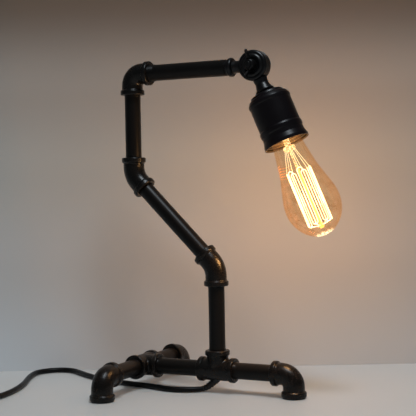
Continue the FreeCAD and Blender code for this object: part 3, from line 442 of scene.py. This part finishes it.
# %% [markdown]
# Every other node comes from one method. It takes the kind of node, what goes into its sockets, which
# output is wanted and the node's settings. The settings are put in first, because some of them change
# which sockets there are.

# %% A finish, which is a material with one way to add nodes
class Finish:
    """A node material. add() makes a node, and finish_with() ends the net in a shader."""

    def __init__(self, name):
        self.material = bpy.data.materials.new(name)
        self.material.use_nodes = True
        self.tree = self.material.node_tree
        self.tree.nodes.clear()
        self.end = self.tree.nodes.new("ShaderNodeOutputMaterial")
        self.spot = self.add("TexCoord", out="Object")

    def add(self, kind, values=None, out=0, **settings):
        """Adds a node and gives back one of its outputs."""
        node = self.tree.nodes.new("ShaderNode" + kind)
        for name, setting in settings.items():
            setattr(node, name, setting)
        for name, value in (values or {}).items():
            socket = node.inputs[name]
            if isinstance(value, Value):
                self.tree.links.new(value.socket, socket)
            elif isinstance(value, tuple) and len(value) == 3 and socket.type == "RGBA":
                socket.default_value = (*value, 1.0)
            else:
                socket.default_value = value
        return Value(self, node.outputs[out])

    def noise(self, size, detail=3.0, where=None, rough=0.5):
        """Cloudy noise whose features are about this many millimetres across."""
        values = {"Vector": where or self.spot, "Scale": 1000 / size, "Detail": detail, "Roughness": rough}
        return self.add("TexNoise", values)

    def cells(self, size):
        """Small pits about this many millimetres across."""
        return self.add("TexVoronoi", {"Vector": self.spot, "Scale": 1000 / size}, "Distance")

    def blend(self, share, first, second):
        """A colour from first to second as share goes from 0 to 1."""
        return self.add("Mix", {0: share, 6: first, 7: second}, 2, data_type="RGBA")

    def bump(self, height, depth):
        """Raises the surface by this many millimetres where height is 1."""
        return self.add("Bump", {"Height": height, "Distance": depth * mm, "Strength": 1.0})

    def bsdf(self, **values):
        """Ends the net in a Principled shader. base_color stands for its socket Base Color, and so on."""
        names = {}
        for name, value in values.items():
            names[name.replace("_", " ").title().replace("Ior", "IOR")] = value
        return self.finish_with(self.add("BsdfPrincipled", names))

    def finish_with(self, shader):
        """Shows this shader on the surface."""
        self.tree.links.new(shader.socket, self.end.inputs["Surface"])
        return shader


print("finish maker ready")

# %% [markdown]
# A new piece and a CAD piece take a finish in the same way: what they wore before is cleared, and the
# finish becomes their only material. CAD pieces are named, and new ones are handed over themselves.

# %% Putting a finish on pieces
def dress(finish, *pieces):
    """Gives pieces this finish."""
    for piece in pieces:
        piece.data.materials.clear()
        piece.data.materials.append(finish.material)


def wear(finish, *names):
    """Gives CAD nodes this finish."""
    dress(finish, *(nodes[name] for name in names))


print("ready to dress", len(nodes), "CAD pieces")

# %% [markdown]
# Dust lies on what faces up, and the lamp's foot is handled and wiped more than its head. So the
# black coats need to know which way the surface faces and how high a point is. Both can be read in
# the finish, which is simpler than painting a map for each piece.

# %% Facing up and close to the table
dust_tone = (0.13, 0.095, 0.075)
foot_height, clean_height = 0.05, 0.20


def upward(finish):
    """1 where the surface faces straight up, 0 where it is upright and -1 underneath."""
    return finish.add("SeparateXYZ", {"Vector": finish.add("NewGeometry", out="Normal")}, "Z")


def height_of(finish):
    """How high a point is, in metres."""
    return finish.add("SeparateXYZ", {"Vector": finish.spot}, "Z")


def near_table(finish):
    """1 close to the table, and 0 higher up."""
    return 1 - height_of(finish).between(foot_height, clean_height)


print("the foot of the lamp ends", round(foot_height / mm), "mm up")

# %% [markdown]
# The fittings are malleable iron castings under a satin black coat. The coat is thin, so the
# sand-cast skin shows through it as a soft orange-peel, and dust settles on what faces up. Near the
# table the coat is rubbed in small brown spots. The grain is bump, because it is far too fine for
# the mesh, and the gloss changes with it.

# %% Satin black on cast fittings
rubbed_tone = (0.075, 0.040, 0.022)


def cast_coat(name, grain, depth, gloss, tone):
    """Black coat over a casting: grain size and depth in millimetres, gloss as roughness."""
    coat = Finish(name)
    skin = coat.noise(grain, 4.0, rough=0.6)
    clouds = coat.noise(14.0, 2.0)
    pits = coat.cells(2.6)
    dust = coat.noise(1.1, 2.0).between(0.62, 0.78)
    facing = upward(coat)
    low_down = near_table(coat)
    dust_and_low_tint = facing.between(0.25, 1.0) * dust * 0.35
    # Near the table the coat is also blended towards the dust tone, a little everywhere and more where it
    # faces up.
    dust_and_low_tint = dust_and_low_tint + low_down * (skin * 0.010 + facing.between(0.0, 1.0) * 0.03)
    rubbed = coat.noise(0.9, 3.0).between(0.54, 0.66) * coat.noise(8.0, 3.0).between(0.44, 0.60) * low_down
    dark = coat.blend(clouds, tone, tuple(v * 1.7 + 0.002 for v in tone))
    dark = coat.blend(rubbed * 0.32, dark, rubbed_tone)
    rough = gloss + clouds * 0.10 + skin * 0.06 + dust_and_low_tint * 0.3 + rubbed * 0.12
    relief = coat.bump(skin + pits * 0.35 - rubbed * 0.4, depth)
    coat.bsdf(base_color=coat.blend(dust_and_low_tint, dark, dust_tone), roughness=rough, normal=relief,
              specular_ior_level=0.22)
    return coat


fitting_coat = cast_coat("fitting_coat", grain=1.4, depth=0.13, gloss=0.19, tone=(0.0026, 0.0024, 0.0022))
wear(fitting_coat, "riser_tee", "cross_tee", "right_foot_elbow", "front_foot_elbow", "rear_foot_elbow",
     "lower_elbow_45", "upper_elbow_45", "top_elbow_90")
print("cast fittings finished:", fitting_coat.material.name)

# %% [markdown]
# Drawn pipe is smoother than a casting. Its coat shows faint long streaks along the pipe, left by
# the brush or spray, and only a trace of grain. Each pipe runs its own way, so the streaks are
# stretched along that way with a Mapping node that turns the pattern first.

# %% Satin black on pipe
def pipe_coat(name, turn=(0.0, 0.0, 0.0)):
    """Black coat on pipe. turn lines the streaks up with the pipe, which runs along the pattern's Z."""
    coat = Finish(name)
    along = coat.add("Mapping", {"Vector": coat.spot, "Rotation": turn})
    streaks = coat.noise(2.0, 3.0, coat.add("Mapping", {"Vector": along, "Scale": (1.0, 1.0, 0.06)}))
    skin = coat.noise(0.9, 3.0)
    clouds = coat.noise(20.0, 2.0)
    dust = coat.noise(1.0, 2.0).between(0.66, 0.80)
    facing = upward(coat)
    dust_and_low_tint = facing.between(0.3, 1.0) * dust * 0.3
    # Near the table the pipe is also blended towards the dust tone, more where it faces up or sideways.
    dust_and_low_tint = dust_and_low_tint + near_table(coat) * facing.between(-0.2, 0.9) * (streaks * 0.5 + 0.5) * 0.07
    dark = coat.blend(clouds * 0.6 + streaks * 0.4, (0.0022, 0.0021, 0.0020), (0.0058, 0.0050, 0.0044))
    relief = coat.bump(streaks * 0.7 + skin * 0.3, 0.05)
    coat.bsdf(base_color=coat.blend(dust_and_low_tint, dark, dust_tone),
              roughness=0.27 + streaks * 0.10 + clouds * 0.06, normal=relief, specular_ior_level=0.17)
    return coat


quarter, eighth = math.pi / 2, math.pi / 4
wear(pipe_coat("upright_pipe_coat"), "riser_pipe", "upper_pipe")
wear(pipe_coat("level_pipe_coat", (0.0, -quarter, 0.0)), "arm_pipe", "right_nipple", "link_nipple")
wear(pipe_coat("cross_pipe_coat", (quarter, 0.0, 0.0)), "front_nipple", "rear_nipple")
wear(pipe_coat("slanted_pipe_coat", (0.0, eighth, 0.0)), "diagonal_pipe")
dress(pipe_coat("thread_coat"), *pipe_threads)
print("pipes finished")

# %% [markdown]
# The cup, the bulb and all that they hold are round about one slanted axis. Several finishes below
# change along that axis, so they measure from the swivel along it. Vector Math nodes do this on the
# Object coordinates, and need no map or empty object.

# %% Places along the head
head_axis = tuple(Vector(joints["bulb_turn"]["axis"]).normalized())


def vector_sum(finish, operation, first, second=(0.0, 0.0, 0.0)):
    """One sum of vectors. A dot product and a length are numbers, the rest are vectors."""
    out = "Value" if operation in ("DOT_PRODUCT", "LENGTH") else "Vector"
    return finish.add("VectorMath", {0: first, 1: second}, out, operation=operation)


def from_pivot(finish):
    """The line to a point from the middle of the swivel."""
    return vector_sum(finish, "SUBTRACT", finish.spot, pivot)


def station(finish):
    """How far along the head a point lies, in metres from the middle of the swivel."""
    return vector_sum(finish, "DOT_PRODUCT", from_pivot(finish), head_axis)


print("the head points along", tuple(round(v, 3) for v in head_axis))

# %% [markdown]
# The swivel and its nut and bolt are turned and machined before they are coated, so their black is
# smoother than that of the castings. A finer, shallower grain shows this, and soft clouds keep the
# tone from being dead even. The rims of the swivel wear the same coat as its halves.

# %% Smooth black on the swivel
skin_size, cloud_size, cloud_lift = 0.7, 11.0, 1.6


def scaled(tone, factor):
    """A colour made darker or lighter by a factor, up to white."""
    return tuple(min(1.0, v * factor) for v in tone)


def smooth_coat(name, tone, gloss, shine):
    """Black coat on turned parts. gloss is its roughness and shine the strength of its highlights."""
    coat = Finish(name)
    skin = coat.noise(skin_size, 3.0)
    clouds = coat.noise(cloud_size, 2.0)
    dark = coat.blend(clouds, tone, scaled(tone, cloud_lift))
    rough = gloss + clouds * 0.08 + skin * 0.05
    coat.bsdf(base_color=dark, roughness=rough, normal=coat.bump(skin, 0.02), specular_ior_level=shine)
    return coat


swivel_coat = smooth_coat("swivel_coat", (0.0020, 0.0020, 0.0023), gloss=0.25, shine=0.30)
fastener_coat = smooth_coat("fastener_coat", (0.0028, 0.0027, 0.0027), gloss=0.22, shine=0.32)
wear(swivel_coat, "arm_collar", "swivel_arm_half", "swivel_socket_half")
dress(swivel_coat, *swivel_rims)
wear(fastener_coat, "swivel_bolt", "plain_washer", "wing_nut")
print("swivel and fasteners finished")

# %% [markdown]
# The cup is spun from sheet metal and coated outside only: inside it is bare, with fine rings from
# the spinning, and glows when the bulb is lit. The two sides are told apart in the finish itself. A
# surface of the cup faces inward where its normal points against the line from the cup's axis to
# it, and that is one dot product less another.

# %% The cup, black outside and bare inside
inward_from, inward_to = -0.006, -0.002
rings_per_metre, ring_dark = 560.0, 0.22


def cup_finish(name, tone, gloss, inside_tone):
    """Black outside and bare spun metal inside, told apart by which way the surface faces."""
    coat = Finish(name)
    facing = coat.add("TexCoord", out="Normal")
    along = station(coat)
    outward = vector_sum(coat, "DOT_PRODUCT", from_pivot(coat), facing)
    outward = outward - along * vector_sum(coat, "DOT_PRODUCT", facing, head_axis)
    inside = 1 - outward.between(inward_from, inward_to)
    skin = coat.noise(skin_size, 3.0)
    clouds = coat.noise(cloud_size, 2.0)
    values = {"W": along, "Scale": rings_per_metre, "Detail": 1.0}
    rings = coat.add("TexNoise", values, noise_dimensions="1D")
    outer = coat.blend(clouds, tone, scaled(tone, cloud_lift))
    inner = coat.blend(rings.between(0.44, 0.56), inside_tone, scaled(inside_tone, ring_dark))
    coat.bsdf(base_color=coat.blend(inside, outer, inner), metallic=inside,
              roughness=gloss + clouds * 0.08 + skin * 0.05 + inside * 0.12,
              normal=coat.bump(skin * 0.5 + rings * inside, 0.03), specular_ior_level=0.21)
    return coat


cup_coat = cup_finish("cup_coat", (0.0028, 0.0018, 0.0025), gloss=0.26, inside_tone=(0.36, 0.31, 0.24))
wear(cup_coat, "holder_cup")
print("cup finished")

# %% [markdown]
# Inside the cup are plain plated steel and brass parts. Bare metal is a Principled shader with
# Metallic at 1, where the base colour is the colour of the reflection. Light brushing and a few
# duller patches keep it from looking like a mirror.

# %% Bare metals
def bare_metal(name, tone, gloss, tarnish):
    """Brushed metal of this tone and this roughness, with duller patches of the tarnish tone."""
    metal = Finish(name)
    stretched = metal.add("Mapping", {"Vector": metal.spot, "Scale": (1.0, 1.0, 0.15)})
    brushing = metal.noise(0.6, 3.0, stretched)
    patches = metal.noise(5.0, 3.0).between(0.42, 0.68)
    colour = metal.blend(patches, tone, tarnish)
    metal.bsdf(base_color=colour, metallic=1.0, roughness=gloss + patches * 0.14 + brushing * 0.10,
               normal=metal.bump(brushing, 0.015))
    return metal


metals = [
    ("plated_steel", (0.62, 0.61, 0.58), 0.24, (0.40, 0.38, 0.35),
     ["hollow_nipple", "lock_nut", "holder_bracket", "holder_screws"]),
    ("holder_brass", (0.80, 0.58, 0.27), 0.24, (0.52, 0.36, 0.16),
     ["screw_shell", "centre_contact", "terminal_screws"]),
    ("cap_brass", (0.83, 0.63, 0.33), 0.20, (0.60, 0.43, 0.21), ["bulb_cap"]),
    ("solder_tin", (0.66, 0.66, 0.66), 0.34, (0.45, 0.45, 0.46), ["bulb_contact"]),
    ("blade_nickel", (0.76, 0.72, 0.62), 0.20, (0.58, 0.52, 0.40), ["plug_blades"]),
]
for name, tone, gloss, tarnish, wearers in metals:
    wear(bare_metal(name, tone, gloss, tarnish), *wearers)
print("metals finished:", len(metals))

# %% [markdown]
# The small insulating parts are glazed porcelain, dark glass, fibre and wire sleeve. They are
# mostly hidden in the cup, but they show when the head is seen from below or when it is taken apart.

# %% Insulating parts
def plain_plastic(name, tone, gloss, grain=0.8, depth=0.03, coat=0.0, spread=1.35):
    """A dull or glazed solid colour, cloudy up to spread times as bright as its tone. gloss is its
    roughness, and grain and depth are those of its skin in millimetres."""
    plastic = Finish(name)
    skin = plastic.noise(grain, 3.0)
    clouds = plastic.noise(9.0, 2.0)
    colour = plastic.blend(clouds, tone, scaled(tone, spread))
    rough = gloss + clouds * 0.08 + skin * 0.05
    plastic.bsdf(base_color=colour, roughness=rough, normal=plastic.bump(skin, depth), coat_weight=coat)
    return plastic


porcelain = plain_plastic("glazed_porcelain", (0.74, 0.71, 0.64), 0.16, 2.0, 0.02, coat=0.6, spread=1.08)
wear(porcelain, "insulator")
wear(plain_plastic("cap_dark_glass", (0.012, 0.011, 0.016), 0.08, 3.0, 0.01, coat=0.5), "bulb_cap_insulator")
wear(plain_plastic("brown_fibre", (0.10, 0.062, 0.035), 0.60, 0.5, 0.05), "friction_washer")
wear(plain_plastic("wire_sleeve", (0.022, 0.022, 0.023), 0.38), "lead_wires")
wear(plain_plastic("foot_rubber", (0.012, 0.012, 0.012), 0.62, 0.5, 0.05), "foot_pads")
wear(plain_plastic("tie_plastic", (0.016, 0.016, 0.017), 0.40), "coil_tie")
dress(plain_plastic("sleeve_rubber", (0.008, 0.008, 0.008), 0.46), tee_sleeve, plug_sleeve)
wear(plain_plastic("switch_plastic", (0.014, 0.014, 0.015), 0.42, 0.55, 0.05), "switch_base", "switch_cover")
wear(plain_plastic("rocker_plastic", (0.010, 0.010, 0.011), 0.16, 1.5, 0.01), "switch_rocker")
wear(plain_plastic("plug_plastic", (0.013, 0.013, 0.013), 0.44, 0.6, 0.05), "plug_body")
print("insulating parts finished")

# %% [markdown]
# The cord's jacket is soft black plastic with a low sheen. It has a fine grain, and handling has left
# duller, slightly paler scuffs on it. The cable inside the pipes is the same.

# %% Cord jacket
cord_jacket = Finish("cord_jacket")
grain = cord_jacket.noise(0.7, 3.0)
scuffs = cord_jacket.noise(7.0, 4.0).between(0.50, 0.72)
colour = cord_jacket.blend(scuffs, (0.0026, 0.0026, 0.0028), (0.0055, 0.0053, 0.0050))
cord_jacket.bsdf(base_color=colour, roughness=0.34 + scuffs * 0.16 + grain * 0.06,
                 normal=cord_jacket.bump(grain, 0.03), specular_ior_level=0.16)
dress(cord_jacket, mains_lead)
wear(cord_jacket, "inner_cable")
print("cord finished")

# %% [markdown]
# The bulb is clear glass with an amber stain. Light goes straight through such a thin wall, so it
# is mixed from a tinted see-through shader and a mirror, with the mirror stronger at a slant, as
# on real glass. The mirror also has a painted glow, which stands for the filament's light in the stain.

# %% Thin glass
slant_blend = 0.30


def slant_of(glass):
    """0 where the glass is seen square on, and 1 at its outline."""
    return glass.add("LayerWeight", {"Blend": slant_blend}, "Facing")


def thin_glass(glass, tint, edge_tint, glow, mirror, slanted=0.06, ripple=0.25, edge_everywhere=0.0):
    """See-through glass: tint straight through, edge_tint at the outline, and a mirror with a painted glow.
    """
    slant = slant_of(glass)
    waves = glass.bump(glass.noise(9.0, 2.0), ripple)
    clear = glass.add("BsdfTransparent", {"Color": tint})
    edge = glass.add("BsdfTransparent", {"Color": edge_tint})
    # The mirror's emission is a painted glow, standing for the filament's light in the glass.
    shine = glass.add("BsdfPrincipled", {
        "Base Color": (1.0, 0.80, 0.55), "Metallic": 1.0, "Roughness": 0.05,
        "Emission Color": glow, "Emission Strength": 1.0, "Normal": waves})
    body = glass.add("MixShader", {0: slant ** 2.0 + edge_everywhere, 1: clear, 2: edge})
    fresnel = glass.add("Fresnel", {"IOR": 1.45})
    glass.finish_with(glass.add("MixShader", {0: fresnel * slanted + mirror, 1: body, 2: shine}))


print("glass maker ready")

# %% [markdown]
# The parts of the bulb are told apart by how far along its axis a point lies. All places are measured
# from the glass itself, whose tip is the point farthest along the axis, and from the foot of the cap.

# %% Places on the bulb
bulb_length = 0.135
glass_points = [vertex.co - Vector(pivot) for vertex in nodes["bulb_glass"].data.vertices]
bulb_tip = max(point.dot(Vector(head_axis)) for point in glass_points)
bulb_foot = bulb_tip - bulb_length
seal_start, seal_full = bulb_tip - 0.026, bulb_tip - 0.015
seal_core, seal_rim = 0.008, 0.013
belly_start, belly_full = bulb_foot + 0.036, bulb_foot + 0.080
band_start, band_end, band_soft = bulb_tip - 0.083, bulb_tip - 0.067, 0.003
band_far_edge, band_near_edge = -0.0105, -0.0125
band_stripes = 2300.0
bead_start, bead_end = bulb_foot + 0.056, bulb_foot + 0.070
print("the bulb's tip is", round(bulb_tip / mm, 1), "mm from the swivel")

# %% [markdown]
# A painted glow stands for the filament's light in the stain. It is strongest where the bulb is wide,
# a little stronger on the side of the column, and nearly clear at the neck, and the outline of the
# glass has a paler painted glow. Where the neck widens, a painted reflection of the lit pipe lies on
# the side of the column as a band of orange stripes. The tip, where the glass was melted shut, has
# painted glints.

# %% Amber glass
bulb_amber = Finish("bulb_amber")
along = station(bulb_amber)
from_axis = vector_sum(bulb_amber, "CROSS_PRODUCT", from_pivot(bulb_amber), head_axis)
from_axis = vector_sum(bulb_amber, "LENGTH", from_axis)
seal = along.between(seal_start, seal_full) * (1 - from_axis.between(seal_core, seal_rim))
# Painted glints at the tip, standing for the filament reflected in the melted seal.
painted_glint = seal * bulb_amber.noise(2.0, 2.0).between(0.46, 0.55)
belly = along.between(belly_start, belly_full)
across = (-head_axis[2], 0.0, head_axis[0])
sideways = vector_sum(bulb_amber, "DOT_PRODUCT", from_pivot(bulb_amber), across)
far_side = sideways.between(-0.022, 0.024)
streaks = bulb_amber.noise(6.0, 3.0).between(0.38, 0.66)
outline = slant_of(bulb_amber).between(0.80, 0.97)
# Painted glow: the stain lit by the filament, stronger on the side of the column and paler at the outline.
painted_glow = bulb_amber.blend(far_side, (0.92, 0.34, 0.13), (0.50, 0.21, 0.10))
painted_glow = bulb_amber.blend(belly * (streaks * 0.7 + 0.3), (0.26, 0.12, 0.06), painted_glow)
painted_glow = bulb_amber.blend(outline, painted_glow, (0.80, 0.60, 0.36))
# Painted reflection of the lit pipe: a band of orange stripes on the side of the column where the neck
# widens.
past_band = along.between(band_end - band_soft, band_end)
painted_reflection = along.between(band_start, band_start + band_soft) * (1 - past_band)
painted_reflection = painted_reflection * (1 - sideways.between(band_near_edge, band_far_edge))
painted_reflection = painted_reflection * bulb_amber.add("Math", {0: along * band_stripes}, operation="SINE").between(-0.2, 0.7)
painted_glow = bulb_amber.blend(painted_reflection, painted_glow, (1.5, 0.45, 0.10))
painted_glow = bulb_amber.blend(painted_glint, painted_glow, (1.9, 1.65, 1.05))
patches = bulb_amber.noise(11.0, 3.0).between(0.44, 0.60)
thin_glass(bulb_amber, (0.99, 0.955, 0.88), (0.89, 0.79, 0.66), painted_glow,
           painted_glint * 0.40 + outline * 0.05 + painted_reflection * 0.10 + 0.05, edge_everywhere=belly * patches * 0.32)
wear(bulb_amber, "bulb_glass")
print("bulb glass finished")

# %% [markdown]
# The stem inside the bulb is glass too. Its pressed part has painted glints on a painted amber glow,
# and past the bead its thin rod has a painted yellow glow, standing for the filament round it.

# %% Glass of the stem
stem_clear = Finish("stem_clear")
past_bead = station(stem_clear).between(bead_start, bead_end)
# Painted glints and painted glow on the stem, standing for the filament's light in it.
painted_sparkle = stem_clear.noise(1.8, 2.0).between(0.50, 0.60)
pressed_painted_glow = stem_clear.blend(painted_sparkle, (0.75, 0.45, 0.16), (2.2, 1.9, 1.25))
rod_painted_glow = stem_clear.blend(past_bead, pressed_painted_glow, (1.6, 1.25, 0.18))
thin_glass(stem_clear, (0.99, 0.95, 0.86), (0.90, 0.75, 0.50), rod_painted_glow,
           past_bead * 0.15 + painted_sparkle * 0.30 + 0.18, slanted=0.2, ripple=0.6)
wear(stem_clear, "bulb_stem")
print("stem finished")

# %% [markdown]
# The filament is the brightest thing in view. Its emission is well above 1, so it clips to
# white in the middle and lights what stands near it, with a warm colour that shows at its edges.

# %% Filament and its wires
filament_glow = Finish("filament_glow")
filament_glow.bsdf(base_color=(0.02, 0.012, 0.006), roughness=0.6, emission_color=(1.0, 0.76, 0.42),
                   emission_strength=3.6)
wear(filament_glow, "filament")
# The support wires have a painted glow, standing for the filament's light on them.
support_wire = Finish("support_wire")
support_wire.bsdf(base_color=(0.60, 0.52, 0.40), metallic=1.0, roughness=0.35,
                  emission_color=(1.0, 0.84, 0.55), emission_strength=1.3)
wear(support_wire, "filament_supports")
print("filament finished")

# %% [markdown]
# The lamp stands on a plain pale table in front of a plain pale wall. Both take the same kind of dull
# paint. The wall's has painted shade that gets darker with height, as a wall looks above a low lamp,
# and the table's has painted light that gets lighter far from the lamp, where less light reaches it.

# %% Paint for the stage
far_start, far_end = 0.6, 3.0


def plain_paint(name, tone, gloss, painted_shade_by_height=(), far_painted_light=None):
    """A plain painted surface. With height it turns to each colour of painted shade that is given, each
    with a start and an end height, and far from the lamp it turns to a colour of painted light, if one is
    given."""
    surface = Finish(name)
    clouds = surface.noise(180.0, 2.0)
    colour = surface.blend(clouds, tone, scaled(tone, 0.97))
    for start, end, high_tone in painted_shade_by_height:
        colour = surface.blend(height_of(surface).between(start, end), colour, high_tone)
    if far_painted_light:
        distance = vector_sum(surface, "LENGTH", surface.spot)
        colour = surface.blend(distance.between(far_start, far_end), colour, far_painted_light)
    shader = surface.bsdf(base_color=colour, roughness=gloss)
    return surface, shader


print("paint ready, lighter from", far_start, "to", far_end, "m")

# %% [markdown]
# The table top is one flat face, a hair below the lamp's feet, and so wide that its edge is never
# seen.

# %% The table
def sheet_of(name, corners, finish):
    """One flat face of the stage."""
    data = bpy.data.meshes.new(name)
    data.from_pydata(corners, [], [(0, 1, 2, 3)])
    made = add_object(name, data)
    dress(finish, made)
    return made


table_half, table_height = 9.0, -0.0003
# Painted light: far from the lamp the table is painted lighter, where less light reaches it.
table_paint, _ = plain_paint("table_paint", (0.560, 0.545, 0.525), 0.45, far_painted_light=(0.93, 0.92, 0.91))
table_signs = ((-1, -1), (1, -1), (1, 1), (-1, 1))
table_corners = [(x * table_half, y * table_half, table_height) for x, y in table_signs]
table_top = sheet_of("table_top", table_corners, table_paint)
print("table", 2 * table_half, "m wide")

# %% [markdown]
# The wall is one flat face too, square to the line of sight. It shows only its front, which leaves
# the view free from behind, and it casts no shadow, so that light from any side reaches the lamp.

# %% The wall
wall_half, wall_height, wall_distance = 3.6, 1.6, 0.153
# Painted shade: the wall is painted darker with height, standing for a wall above a low lamp.
wall_painted_shade = [(0.0, 0.13, (0.414, 0.397, 0.380)), (0.13, 0.24, (0.363, 0.340, 0.308)),
              (0.24, 0.33, (0.298, 0.261, 0.228)), (0.33, 0.44, (0.120, 0.081, 0.055))]
wall_paint, wall_shader = plain_paint("wall_paint", (0.506, 0.520, 0.532), 0.7, wall_painted_shade)
from_behind = wall_paint.add("NewGeometry", out="Backfacing")
gone = wall_paint.add("BsdfTransparent")
wall_paint.finish_with(wall_paint.add("MixShader", {0: from_behind, 1: wall_shader, 2: gone}))
away = Vector((-0.4441, 0.8956, 0.0)).normalized()
aside = Vector((away.y, -away.x, 0.0))
foot = away * wall_distance
left, right = foot - aside * wall_half, foot + aside * wall_half
rise_of_wall = Vector((0, 0, wall_height))
wall = sheet_of("back_wall", [left, right, right + rise_of_wall, left + rise_of_wall], wall_paint)
wall.visible_shadow = False
print("wall", wall_distance, "m behind the middle of the lamp")

# %% [markdown]
# One soft light hangs above and a little in front, as a ceiling lamp would. Two more reach only the
# stage, by light linking: a very wide one keeps the table pale far from the lamp, and a faint one
# evens out the wall's left side.

# %% Soft lights
def soft_light(name, place, target, size, power, tone):
    """A rectangle of light, aimed from its place at its target."""
    data = bpy.data.lights.new(name, "AREA")
    data.shape = "RECTANGLE"
    data.size, data.size_y = size
    data.energy = power
    data.color = tone
    made = add_object(name, data)
    made.location = place
    made.rotation_euler = (Vector(target) - Vector(place)).to_track_quat("-Z", "Y").to_euler()
    made.visible_camera = False
    return made


def limit_light(light, targets, state):
    """Makes a light reach only these objects, or with EXCLUDE leave them out."""
    group = bpy.data.collections.new(light.name + "_targets")
    for target in targets:
        group.objects.link(target)
    light.light_linking.receiver_collection = group
    for entry in group.collection_objects:
        entry.light_linking.link_state = state


soft_light("ceiling_light", (0.28, -0.36, 1.25), (0.28, -0.36, 0.0),
           size=(0.38, 0.28), power=9.4, tone=(0.84, 0.93, 1.0))
table_fill = soft_light("table_fill", (0.0, 0.0, 2.5), (0.0, 0.0, 0.0),
                        size=(6.0, 6.0), power=36.0, tone=(0.92, 0.97, 1.0))
limit_light(table_fill, [table_top], "INCLUDE")
wall_fill = soft_light("wall_fill", (-0.585, -0.51, 0.08), (-0.247, 0.048, 0.08),
                       size=(0.3, 0.3), power=1.5, tone=(0.84, 0.93, 1.0))
wall_fill.data.use_shadow = False
limit_light(wall_fill, [wall], "INCLUDE")
print("soft lights ready")

# %% [markdown]
# The bulb is lit. Its filament is far too thin to light a room well by its own glow, so a warm round
# light sits in it and rides with the bulb. That light is kept off the glass and the stem, whose
# mirrors would show it as a ball, and off the table, which gets a weaker one of its own.

# %% The light of the bulb
glow_radius = 18.0 * mm


def bulb_glow(name, power, targets, state):
    """A warm round light in the filament, which rides with the bulb."""
    data = bpy.data.lights.new(name, "POINT")
    data.energy = power
    data.color = (1.0, 0.55, 0.24)
    data.shadow_soft_size = glow_radius
    made = add_object(name, data)
    made.location = middle_of("filament")
    made.visible_camera = False
    limit_light(made, targets, state)
    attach(made, "bulb")


bulb_glow("bulb_light", 1.85, (nodes["bulb_glass"], nodes["bulb_stem"], table_top), "EXCLUDE")
bulb_glow("table_glow", 0.42, (table_top,), "INCLUDE")
print("the bulb shines from", tuple(round(v, 3) for v in middle_of("filament")))

# %% [markdown]
# The surroundings give a faint even light from all sides, so that no shadow is quite black. The
# Standard view keeps colours as they are written.

# %% Surroundings
world = bpy.data.worlds.new("surroundings")
scene.world = world
world.use_nodes = True
sky = world.node_tree.nodes["Background"]
sky.inputs["Color"].default_value = (0.57, 0.59, 0.62, 1.0)
sky.inputs["Strength"].default_value = 0.15
scene.view_settings.view_transform = "Standard"
print("surroundings at strength", sky.inputs["Strength"].default_value)

# %% [markdown]
# The last cell brings the scene up to date.

# %% Bring the scene up to date
bpy.context.view_layer.update()
